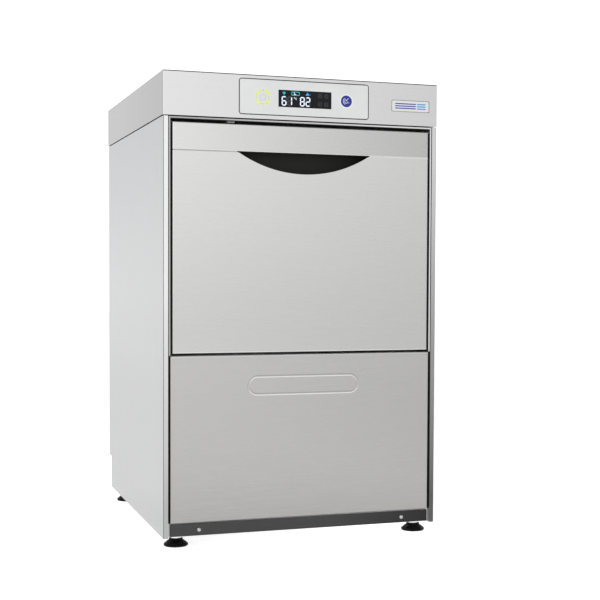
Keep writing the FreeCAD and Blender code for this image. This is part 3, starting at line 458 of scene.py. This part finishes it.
CAD_MATERIALS = {
    "side": ["side_panel_left", "side_panel_right", "back_panel"],
    "lid": ["lid"],
    "door": ["door_skin"],
    "handle": ["door_handle"],
    "panel": ["front_panel"],
    "frame": ["front_frame", "base_tray"],
    "inner": ["chamber_hood", "wash_tank", "rack_rails", "wash_riser", "rinse_boiler", "door_liner",
              "lower_rinse_arm", "upper_rinse_arm", "filter_plates"],
    "kick": ["kick_plate"],
    "screw": ["door_catch", "hinge_arms"],
    "blackened": ["hinge_brackets"],
    "bright": ["panel_screws", "foot_front_left", "foot_front_right", "foot_rear_left",
               "foot_rear_right"],
    "heater": ["tank_heater", "boiler_heater"],
    "motor": ["wash_pump_motor", "wash_pump_rotor"],
    "bezel": ["control_bezel"],
    "button": ["power_button", "power_ring"],
    "blue": ["start_button"],
    "badge": ["badge"],
    "display": ["display_window"],
    "charcoal": ["grip_pocket"],
    "black": ["arm_caps", "wash_pump_housing", "mains_gland"],
    "grey": ["filter_cup", "standpipe", "lower_spindle", "upper_spindle", "drain_spigot", "dosing_pumps",
             "hinge_bushes"],
    "white": ["inlet_valve", "drain_pump", "terminal_block"],
    "arm": ["lower_wash_arm", "upper_wash_arm"],
    "board": ["display_board", "control_board"],
    "rubber": ["door_seal"],
    "hose": ["suction_hose", "delivery_hose", "rinse_hose", "drain_hose"],
}


def paint_cad():
    for name, nodes in CAD_MATERIALS.items():
        for node in nodes:
            for slot in NODES[node].material_slots:
                slot.material = MATERIALS[name].material


# ---- shape helpers ---------------------------------------------------------------------------------------


def low(node):
    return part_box(node)[0]


def high(node):
    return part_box(node)[1]


def middle(node):
    return (low(node) + high(node)) / 2


class Shape:
    """A mesh in the making, in millimetres. Outlines lie in the XZ plane and are pushed along Y."""

    def __init__(self):
        self.mesh = bmesh.new()

    def faces(self, points, faces):
        verts = [self.mesh.verts.new(p) for p in points]
        for face in faces:
            self.mesh.faces.new([verts[n] for n in face])
        return self

    def loops(self, rings, closed=False, capped=True):
        """A skin through rings of points, each of the same length."""
        count = len(rings[0])
        points = [p for ring in rings for p in ring]
        faces = []
        spans = len(rings) if closed else len(rings) - 1
        for row in range(spans):
            a, b = row * count, (row + 1) % len(rings) * count
            faces += [(a + n, a + (n + 1) % count, b + (n + 1) % count, b + n) for n in range(count)]
        if capped and not closed:
            last = (len(rings) - 1) * count
            faces += [tuple(range(count))[::-1], tuple(range(last, last + count))]
        return self.faces(points, faces)

    def plate(self, outline, front, back, edge=0.0):
        """An outline in (x, z) given thickness from front to back, its front edge taken off by edge."""
        rings = [[(x, back, z) for x, z in outline]]
        if edge:
            rings.append([(x, front + edge, z) for x, z in outline])
            outline = shrunk(outline, edge)
        rings.append([(x, front, z) for x, z in outline])
        return self.loops(rings)

    def band(self, outer, inner, front, back):
        """A flat ring between two outlines of the same length."""
        places = ((outer, back), (outer, front), (inner, front), (inner, back))
        rings = [[(x, y, z) for x, z in line] for line, y in places]
        return self.loops(rings, closed=True)

    def lathe(self, profile, place, axis="z", steps=32):
        """A profile of (radius, height) turned round an axis through a place."""
        turn = {"z": lambda r, a, h: (r * math.cos(a), r * math.sin(a), h),
                "y": lambda r, a, h: (r * math.cos(a), h, r * math.sin(a))}[axis]
        angles = [2 * math.pi * n / steps for n in range(steps)]
        rings = [[Vector(place) + Vector(turn(max(r, 0.01), a, h)) for a in angles] for r, h in profile]
        return self.loops(rings)

    def make(self, name, material, body, slot, smooth=35, bevel=0.0):
        """Finishes the mesh as a piece that rides on a body, in the given material. The slot is not used.
        """
        bmesh.ops.recalc_face_normals(self.mesh, faces=self.mesh.faces)
        bmesh.ops.scale(self.mesh, vec=(MM, MM, MM), verts=self.mesh.verts)
        data = bpy.data.meshes.new(name)
        self.mesh.to_mesh(data)
        self.mesh.free()
        data.materials.append(MATERIALS[material].material)
        data.shade_smooth()
        data.set_sharp_from_angle(angle=math.radians(smooth))
        piece = bpy.data.objects.new(name, data)
        bpy.context.scene.collection.objects.link(piece)
        if bevel:
            soft = piece.modifiers.new("bevel", "BEVEL")
            soft.width = bevel * MM
            soft.segments = 2
            soft.limit_method = "ANGLE"
        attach(piece, body)
        return piece


def shrunk(outline, amount):
    """An outline drawn in towards its middle by about an amount on every side."""
    xs, zs = [p[0] for p in outline], [p[1] for p in outline]
    mid_x, mid_z = (min(xs) + max(xs)) / 2, (min(zs) + max(zs)) / 2
    half_x, half_z = (max(xs) - min(xs)) / 2, (max(zs) - min(zs)) / 2
    return [(mid_x + (x - mid_x) * (1 - amount / half_x), mid_z + (z - mid_z) * (1 - amount / half_z))
            for x, z in outline]


def round_box(x0, x1, z0, z1, radius, steps=6):
    """The outline of a rectangle with round corners."""
    outline = []
    corners = ((x1 - radius, z1 - radius, 0), (x0 + radius, z1 - radius, 1), (x0 + radius, z0 + radius, 2),
               (x1 - radius, z0 + radius, 3))
    for x, z, quarter in corners:
        for n in range(steps + 1):
            angle = math.pi / 2 * (quarter + n / steps)
            outline.append((x + radius * math.cos(angle), z + radius * math.sin(angle)))
    return outline


def circle(x, z, radius, steps=40, start=0.0, sweep=360.0):
    """Points on a circle or, with a sweep under 360 degrees, on an arc."""
    count = steps if sweep >= 360 else steps + 1
    angles = [math.radians(start + sweep * n / steps) for n in range(count)]
    return [(x + radius * math.cos(a), z + radius * math.sin(a)) for a in angles]


def arc(x, z, radius, width, start, sweep, steps=14):
    """The outline of a curved bar."""
    outer = circle(x, z, radius + width / 2, steps, start, sweep)
    return outer + circle(x, z, radius - width / 2, steps, start, sweep)[::-1]


def bar(x0, z0, x1, z1, width):
    """The outline of a straight bar between two points."""
    along = Vector((x1 - x0, z1 - z0)).normalized() * width / 2
    nx, nz = -along.y, along.x
    return [(x0 + nx, z0 + nz), (x0 - nx, z0 - nz), (x1 - nx, z1 - nz), (x1 + nx, z1 + nz)]


# ---- control panel ---------------------------------------------------------------------------------------

SEGMENTS = {"6": "afgedc", "1": "bc", "8": "abcdefg", "2": "abged"}


def digit_segments(left, base, wide, tall, thick):
    """The seven segments of a digit, by letter, as outlines with pointed ends."""
    right, top, mid = left + wide, base + tall, base + tall / 2
    half, gap = thick / 2, 0.22

    def level(z):
        return [(left + gap + half, z), (left + gap + thick, z + half), (right - gap - thick, z + half),
                (right - gap - half, z), (right - gap - thick, z - half), (left + gap + thick, z - half)]

    def upright(x, z0, z1):
        return [(x, z0 + gap), (x + half, z0 + gap + half), (x + half, z1 - gap - half), (x, z1 - gap),
                (x - half, z1 - gap - half), (x - half, z0 + gap + half)]

    return {
        "a": level(top - half), "g": level(mid), "d": level(base + half),
        "f": upright(left + half, mid, top - half), "b": upright(right - half, mid, top - half),
        "e": upright(left + half, base + half, mid), "c": upright(right - half, base + half, mid),
    }


def make_display():
    glass_low = low("display_window") / MM
    back, front = glass_low.y + 0.02, glass_low.y - 0.08
    base = glass_low.z + 2.2
    shining, ghost = Shape(), Shape()
    for text, left in (("6", -38.2), ("1", -29.0), ("8", -8.4), ("2", 0.8)):
        for letter, outline in digit_segments(left, base, 7.8, 14.6, 1.75).items():
            target = shining if letter in SEGMENTS[text] else ghost
            target.plate(outline, front, back)
    shining.plate(arc(-17.2, base + 12.6, 0.8, 0.5, 0, 355), front, back)
    shining.plate(arc(-14.2, base + 11.2, 1.3, 0.6, 60, 240), front, back)
    shining.plate(round_box(-18.2, -14.4, base + 17.4, base + 18.4, 0.3), front, back)
    shining.plate(bar(-17.4, base + 18.4, -18.0, base + 21.4, 0.9), front, back)
    shining.make("display_digits", "digit", "cabinet", "display_glass")

    for x in (24.5, 35.0):
        for z in (base + 4.5, base + 17.5):
            outer = round_box(x - 3, x + 3, z - 3, z + 3, 1.2)
            inner = round_box(x - 2.3, x + 2.3, z - 2.3, z + 2.3, 0.8)
            ghost.band(outer, inner, front, back)
            ghost.plate(arc(x, z, 1.0, 0.5, 30, 300), front, back)
    ghost.make("display_unlit_icons", "ghost", "cabinet", "display_glass")

    teal = Shape()
    top = base + 19.8
    for n in range(3):
        teal.plate(arc(-34.2, top - 2.2, 1.2 + 1.1 * n, 0.7, 35, 110), front, back)
    teal.plate(round_box(-35.6, -32.8, top - 2.4, top - 0.2, 0.5), front, back)
    outer = round_box(-22.4, -9.0, top - 3.6, top + 2.4, 1.6)
    inner = round_box(-21.5, -9.9, top - 2.7, top + 1.5, 1.0)
    teal.band(outer, inner, front, back)
    teal.make("display_wash_icons", "teal", "cabinet", "display_glass")

    blue = Shape()
    blue.plate([(0.8, top - 2.6), (7.2, top - 2.6), (4.0, top + 2.4)], front, back)
    blue.plate(bar(7.8, top - 2.0, 8.8, top - 0.2, 0.6), front, back)
    blue.make("display_rinse_icon", "sky", "cabinet", "display_glass")


def make_bezel_joint():
    """The dark joint line where the bezel stands in the lid's window: a dark band on the lid's face that is
    partly the joint and partly painted shadow.
    """
    lid_front = low("lid").y / MM
    x0, z0, x1, z1 = -105.2, 669.7, 105.2, 722.7
    outer = round_box(x0 - 1.5, x1 + 1.5, z0 - 1.5, z1 + 1.5, 4.9, 8)
    inner = round_box(x0 + 0.02, x1 - 0.02, z0 + 0.02, z1 - 0.02, 3.5, 8)
    joint = Shape().band(outer, inner, lid_front - 0.12, lid_front + 0.1)
    joint.make("bezel_joint", "line", "cabinet", "black_plastic")


def make_buttons():
    centre = middle("power_ring") / MM
    face = low("power_ring").y / MM
    ring = Shape()
    for quarter in range(4):
        outline = arc(centre.x, centre.z, 10.98, 1.92, 90 * quarter + 11, 68, 18)
        ring.plate(outline, face, high("power_ring").y / MM, 0.12)
    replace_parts(ring.make("power_ring_arcs", "lime", "cabinet", "ring_green"), "power_ring")

    seat = Shape()
    outer, inner = (circle(centre.x, centre.z, radius, 64) for radius in (11.95, 10.03))
    seat.band(outer, inner, face + 0.12, face + 1.2)
    seat.make("power_ring_seat", "button", "cabinet", "control_plastic")

    face = low("power_button").y / MM
    legend = Shape()
    legend.plate(arc(centre.x, centre.z, 4.6, 0.9, 125, 290, 26), face - 0.05, face + 0.05)
    legend.plate(bar(centre.x, centre.z + 1.2, centre.x, centre.z + 6.2, 0.9), face - 0.05, face + 0.05)
    legend.make("power_legend", "legend", "power_button", "button_white")

    centre = middle("start_button") / MM
    face = low("start_button").y / MM
    legend = Shape()
    for radius, start, sweep in ((5.6, 120, 120), (3.4, 110, 170)):
        curve = arc(centre.x + 0.6, centre.z, radius, 0.55, start, sweep, 18)
        legend.plate(curve, face - 0.05, face + 0.05)
    for x0, z0, x1, z1 in ((-0.6, 0.6, 3.4, 4.6), (0.4, -0.6, 4.4, -2.6)):
        stroke = bar(centre.x + x0, centre.z + z0, centre.x + x1, centre.z + z1, 0.6)
        legend.plate(stroke, face - 0.05, face + 0.05)
    legend.make("start_legend", "pale", "start_button", "button_blue")


def make_badge():
    """A blank pressed badge with a raised rim and a two-tone stripe in place of a name."""
    lo, hi = low("badge") / MM, high("badge") / MM
    outer = round_box(lo.x, hi.x, lo.z, hi.z, 2.0)
    face = lo.y + 0.25
    plate = Shape()
    plate.plate(outer, face, hi.y)
    plate.make("badge_plate", "badge", "cabinet", "badge_metal")
    rim = Shape()
    rim.band(shrunk(outer, 0.5), shrunk(outer, 1.3), lo.y, face + 0.05)
    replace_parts(rim.make("badge_rim", "bright", "cabinet", "badge_metal", bevel=0.12), "badge")
    # The dark band round the badge is partly its joint and partly painted shadow.
    joint = Shape()
    joint.band(outer, shrunk(outer, 0.5), face - 0.02, face + 0.1)
    joint.make("badge_joint", "line", "cabinet", "black_plastic")
    mid = (lo.z + hi.z) / 2
    split = lo.x + (hi.x - lo.x) * 0.66
    for name, material, x0, x1 in (("badge_stripe_dark", "navy", lo.x + 6, split - 0.8),
                                   ("badge_stripe_light", "azure", split + 0.8, hi.x - 6)):
        stripe = Shape()
        for n in range(3):
            z = mid - 3.6 + 3.6 * n
            stripe.plate(round_box(x0, x1, z - 0.9, z + 0.9, 0.85), face - 0.06, face + 0.02)
        stripe.make(name, material, "cabinet", "badge_metal")


# ---- sheet metal -----------------------------------------------------------------------------------------


def make_emboss():
    """A soft round-backed rib round a stadium, pressed out of the lower panel."""
    front = low("front_panel").y / MM
    face, crest, half = front + 0.03, front - 0.28, 2.0
    mid_z, straight, radius = 248.5, 76.0, 14.0
    path = []
    for side in (1, -1):
        for n in range(17):
            angle = math.radians(-90 + 180 * n / 16) * side
            path.append((side * straight, mid_z, side * math.cos(angle), math.sin(angle)))
    rings = []
    for x, z, dx, dz in path:
        ring = []
        for k in range(9):
            t = -1 + k / 4
            y = face - (face - crest) * math.cos(t * math.pi / 2)
            ring.append((x + dx * (radius + t * half), y, z + dz * (radius + t * half)))
        ring.append((x + dx * radius, face + 0.1, z + dz * radius))
        rings.append(ring)
    Shape().loops(rings, closed=True).make("panel_emboss", "pressed", "cabinet", "panel_steel", smooth=60)


def make_gap_shadows():
    """Painted shadow in the gap round the door: thin black sheets on the frame's inner faces and on the
    door's own edges.
    """
    wall, top = high("front_frame").x / MM - 2.3, high("front_frame").z / MM - 2.3
    front, back = low("front_frame").y / MM + 1.2, high("door_seal").y / MM - 0.6
    z0 = low("front_frame").z / MM + 3
    thick = 0.35
    # Painted shadow: black sheets on the frame's inner faces.
    gap_shade = Shape()
    for side in (-1, 1):
        x0, x1 = sorted((side * (wall - thick), side * (wall - 0.02)))
        gap_shade.plate([(x0, z0), (x1, z0), (x1, top - thick), (x0, top - thick)], front, back)
    head = [(-wall, top - thick), (wall, top - thick), (wall, top - 0.02), (-wall, top - 0.02)]
    gap_shade.plate(head, front, back)
    gap_shade.make("frame_gap_shadow", "rubber", "cabinet", "seal_rubber")

    # Painted shadow: black sheets on the door's side edges.
    edge_shade = Shape()
    edge = high("door_skin").x / MM
    for node in ("door_skin", "door_handle"):
        lo, hi = low(node) / MM, high(node) / MM
        for side in (-1, 1):
            x0, x1 = sorted((side * (edge + 0.02), side * (edge + thick)))
            outline = [(x0, lo.z + 0.6), (x1, lo.z + 0.6), (x1, hi.z - 0.6), (x0, hi.z - 0.6)]
            edge_shade.plate(outline, lo.y + 1.1, hi.y - 0.5)
    edge_shade.make("door_edge_shadow", "rubber", "door", "seal_rubber")


def make_handle_joint():
    """The folded steel edge seen in the joint between the door's skin and its handle strip."""
    skin, strip = high("door_skin") / MM, low("door_handle") / MM
    edge = Shape()
    for side in (-1, 1):
        x0, x1 = sorted((side * 108.5, side * (skin.x - 0.6)))
        outline = [(x0, skin.z - 1.5), (x1, skin.z - 1.5), (x1, strip.z + 0.8), (x0, strip.z + 0.8)]
        edge.plate(outline, strip.y + 0.55, strip.y + 0.95)
    edge.make("handle_joint", "frame", "door", "door_steel")


def make_screws():
    """Cross-head pan screws in place of the plain heads, front and back."""
    heads, slots = Shape(), Shape()
    kick_x, kick_z = 168, 27.5
    back_x, back_rows = 216, (120, 300, 480, 645)
    reach, half = 1.9, 0.34
    cross = [(reach, half), (half, half), (half, reach), (-half, reach), (-half, half), (-reach, half),
             (-reach, -half), (-half, -half), (-half, -reach), (half, -reach), (half, -half),
             (reach, -half)]
    dome = [(0, 0), (1.3, 0.03), (2.3, 0.25), (2.9, 0.75), (3.2, 1.25), (3.2, 1.55)]
    front, rear = low("panel_screws").y / MM, high("panel_screws").y / MM
    places = [(side * kick_x, kick_z, front, 1) for side in (-1, 1)]
    places += [(side * back_x, z, rear, -1) for side in (-1, 1) for z in back_rows]
    for x, z, y, facing in places:
        heads.lathe([(r, h * facing) for r, h in dome], (x, y, z), "y", 24)
        tip, root = sorted((y + 0.02 * facing, y + 0.5 * facing))
        slots.plate([(x + dx, z + dz) for dx, dz in cross], tip, root)
    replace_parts(heads.make("screw_heads", "screw", "cabinet", "fastener_steel"), "panel_screws")
    # The cross recesses are solid black crosses: painted shade in place of the hollow.
    slots.make("screw_recesses", "black", "cabinet", "fastener_steel")


def make_louvres():
    """Pressed hoods over the vent slots in the back."""
    rear = high("back_panel").y / MM
    panel, face = rear - 0.02, rear + 2.6
    lowest, pitch, across, half_wide, tall = 158.5, 14, 110, 47.5, 8.6
    hoods = Shape()
    for column in (-1, 1):
        for row in range(9):
            base = lowest + pitch * row
            rings = []
            for n in range(21):
                t = -1 + n / 10
                swell = max(1 - abs(t) ** 7, 0.0) ** 0.5
                x = column * across + half_wide * t
                ring = []
                for k in range(7):
                    a = math.pi / 2 * k / 6
                    z = base + tall * (1 - (1 - math.cos(a)) * swell - (1 - swell))
                    y = panel + (face - panel) * swell * math.sin(a) * 0.99 + 0.01 * k
                    ring.append((x, y, max(z, base)))
                ring.append((x, panel, base))
                rings.append(ring)
            hoods.loops(rings)
    hoods.make("louvre_hoods", "side", "cabinet", "outer_steel", smooth=50)


# ---- wash chamber ----------------------------------------------------------------------------------------


def make_seal():
    """The door gasket: a ribbed base with a soft hollow bulb, run round the liner."""
    lo, hi = low("door_seal") / MM, high("door_seal") / MM
    base, tip = lo.y, hi.y
    radius = 9.0
    spine = round_box(lo.x + 3.6, hi.x - 3.6, lo.z + 3.6, hi.z - 3.6, radius, 8)
    mid_x, mid_z = (lo.x + hi.x) / 2, (lo.z + hi.z) / 2
    section = [(-3.4, 0.02), (-3.4, 0.7), (-2.4, 0.9)]
    turns = [math.pi * k / 8 for k in range(9)]
    section += [(-2.2 * math.cos(a), 0.9 + (tip - base - 0.95) * math.sin(a)) for a in turns]
    section += [(2.4, 0.9), (3.4, 0.7), (3.4, 0.02)]
    rings = []
    for n, (x, z) in enumerate(spine):
        ahead, behind = Vector(spine[(n + 1) % len(spine)]), Vector(spine[n - 1])
        along = (ahead - behind).normalized()
        out = Vector((along.y, -along.x))
        if out.dot(Vector((x - mid_x, z - mid_z))) < 0:
            out = -out
        rings.append([(x + out.x * s, base + h, z + out.y * s) for s, h in section])
    bulb = Shape().loops(rings, closed=True)
    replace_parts(bulb.make("door_gasket", "rubber", "door", "seal_rubber", smooth=70), "door_seal")


def make_filter_sheets():
    """Perforated strainer sheets over the tank, with plain collars round the riser and the sump filter."""
    lo, hi = low("filter_plates") / MM, high("filter_plates") / MM
    pitch, hole = 8.0, 2.7
    riser_clear, sump_clear = 24, 53
    sump = middle("filter_cup") / MM
    sheet = Shape()
    columns, rows = int((hi.x - lo.x) // pitch), int((hi.y - lo.y) // pitch)
    start_x, start_y = -columns * pitch / 2, (lo.y + hi.y) / 2 - rows * pitch / 2
    square = [(1, 0), (1, 1), (0, 1), (-1, 1), (-1, 0), (-1, -1), (0, -1), (1, -1)]
    for column in range(columns):
        for row in range(rows):
            x, y = start_x + (column + 0.5) * pitch, start_y + (row + 0.5) * pitch
            if math.hypot(x, y) < riser_clear or math.hypot(x - sump.x, y - sump.y) < sump_clear:
                continue
            outer = [(x + dx * pitch / 2, y + dy * pitch / 2, hi.z) for dx, dy in square]
            turns = [math.pi * k / 4 for k in range(8)]
            ring = [(x + hole * math.cos(t), y + hole * math.sin(t)) for t in turns]
            inner = [(a, b, hi.z) for a, b in ring]
            under = [(a, b, lo.z + 0.1) for a, b in ring]
            pairs = [(k, (k + 1) % 8) for k in range(8)]
            faces = [(a, b, 8 + b, 8 + a) for a, b in pairs]
            faces += [(8 + a, 8 + b, 16 + b, 16 + a) for a, b in pairs]
            sheet.faces(outer + inner + under, faces)
    bmesh.ops.remove_doubles(sheet.mesh, verts=sheet.mesh.verts, dist=0.01)
    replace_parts(sheet.make("filter_sheets", "inner", "cabinet", "inner_steel"), "filter_plates")

    trim = Shape()
    thick = (lo.z, hi.z + 0.5)
    for x, y, inside, outside in ((0, 0, 18.1, 30), (sump.x, sump.y, 50.4, 60)):
        profile = [(inside, thick[0]), (outside, thick[0]), (outside, thick[1] - 0.3),
                   (outside - 0.3, thick[1]), (inside, thick[1])]
        rings = []
        for n in range(48):
            a = 2 * math.pi * n / 48
            rings.append([(x + r * math.cos(a), y + r * math.sin(a), h) for r, h in profile])
        trim.loops(rings, closed=True)
    edge_x, edge_y = columns * pitch / 2, (start_y, start_y + rows * pitch)
    margins = [(lo.x, -edge_x, lo.y, hi.y), (edge_x, hi.x, lo.y, hi.y),
               (-edge_x, edge_x, lo.y, edge_y[0]), (-edge_x, edge_x, edge_y[1], hi.y)]
    seams = [(-0.6, 0.6, edge_y[0], -30), (-0.6, 0.6, 30, 34.5), (-0.6, 0.6, 155.2, edge_y[1])]
    for x0, x1, y0, y1 in margins + seams:
        ring = [(x0, y0), (x1, y0), (x1, y1), (x0, y1)]
        trim.loops([[(x, y, z) for x, y in ring] for z in thick])
    trim.make("filter_collars", "inner", "cabinet", "inner_steel")


def make_arm_nozzles():
    """Moulded spray nozzles that stand on the wash arms' slots, and jets on the rinse arms."""
    for arm, up in (("lower_wash_arm", 1), ("upper_wash_arm", -1)):
        face = (low(arm) / MM).z + (14 if up > 0 else 2)
        nozzles = Shape()
        for step in range(5):
            for side in (-1, 1):
                x, y = side * (48 + step * 30), side * 5
                outer = [(x + px, y + py) for px, py in round_box(-9.5, 9.5, -3.6, 3.6, 3.4, 5)]
                inner = [(x + px, y + py) for px, py in round_box(-6, 6, -1, 1, 0.9, 5)]
                levels = ((outer, face - 0.2 * up), (shrunk(outer, 0.6), face + 1.0 * up),
                          (inner, face + 1.1 * up), (inner, face - 0.8 * up))
                rings = [[(a, b, z) for a, b in line] for line, z in levels]
                nozzles.loops(rings, capped=False)
        nozzles.make(f"{arm}_nozzles", "black", arm, "clear_plastic", smooth=50)
    for arm, up in (("lower_rinse_arm", 1), ("upper_rinse_arm", -1)):
        jets = Shape()
        crest = (low(arm) / MM).z + 3.75 + 3.4 * up
        profile = [(2.6, -0.6 * up), (2.6, 0.5 * up), (1.7, 0.95 * up), (0.7, 0.95 * up), (0.7, 0.2 * up)]
        for step in range(6):
            for side in (-1, 1):
                jets.lathe(profile, (side * (32 + step * 28), 0, crest), "z", 16)
        jets.make(f"{arm}_jets", "bright", arm, "inner_steel")


# ---- feet ------------------------------------------------------------------------------------------------


def make_feet():
    """Each foot is a swivelling rubber pad, a hexagon to turn it by and a coarse threaded stud."""
    flat_half, corner = 8.2, 9.4
    thread_low, pitch, rise = 14, 1.5, 0.375
    for node in ("foot_front_left", "foot_front_right", "foot_rear_left", "foot_rear_right"):
        lo, hi = low(node) / MM, high(node) / MM
        x, y = (lo.x + hi.x) / 2, (lo.y + hi.y) / 2
        wide = (hi.x - lo.x) / 2
        pad = Shape()
        profile = [(0, 0.9), (wide - 5.5, 0.9), (wide - 5.0, 0.01), (wide - 0.9, 0.01), (wide - 0.05, 0.8),
                   (wide - 0.05, 3.2), (wide - 0.7, 4.0), (wide - 2.4, 4.7), (wide - 2.6, 5.4),
                   (14.2, 7.2), (12.0, 8.6), (10.9, 10.0), (10.3, 12.0), (8.2, 12.2), (6.0, 12.2),
                   (0, 12.2)]
        pad.lathe(profile, (x, y, 0), "z", 48)
        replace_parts(pad.make(f"{node}_pad", "foot", node, "black_plastic"), node)

        stud = Shape()
        rings = []
        hexagon = []
        for n in range(48):
            a = 2 * math.pi * n / 48
            flat = flat_half / math.cos((a + math.pi / 6) % (math.pi / 3) - math.pi / 6)
            hexagon.append((a, flat))
        for z, chamfer in ((11.9, 1.2), (12.4, 0.2), (12.8, 0), (15.4, 0), (15.8, 0.2), (16.2, 1.2)):
            reach = [(a, min(flat, corner - chamfer)) for a, flat in hexagon]
            rings.append([(x + r * math.cos(a), y + r * math.sin(a), z) for a, r in reach])
        stud.loops(rings)
        thread = []
        turns, top = 24, hi.z - 0.6
        levels = int((top - thread_low) / rise)
        for level in range(levels + 1):
            z = thread_low + level * rise
            ring = []
            for n in range(turns):
                a = 2 * math.pi * n / turns
                radius = 4.2 + 0.75 * abs(((z / pitch - n / turns) % 1.0) - 0.5) * 2
                ring.append((x + radius * math.cos(a), y + radius * math.sin(a), z))
            thread.append(ring)
        stud.loops(thread)
        stud.make(f"{node}_stud", "bright", node, "fastener_steel", smooth=50)


# ---- build -----------------------------------------------------------------------------------------------

bpy.context.scene.view_settings.view_transform = "Standard"
MATERIALS = make_materials()
make_camera()
make_world()
make_stage()
make_area_light("key", (-1.9, -2.4, 2.6), (0, 0, 0.35), (1.8, 1.4), 22)
paint_cad()
make_display()
make_bezel_joint()
make_buttons()
make_badge()
make_emboss()
make_gap_shadows()
make_handle_joint()
make_screws()
make_louvres()
make_seal()
make_filter_sheets()
make_arm_nozzles()
make_feet()
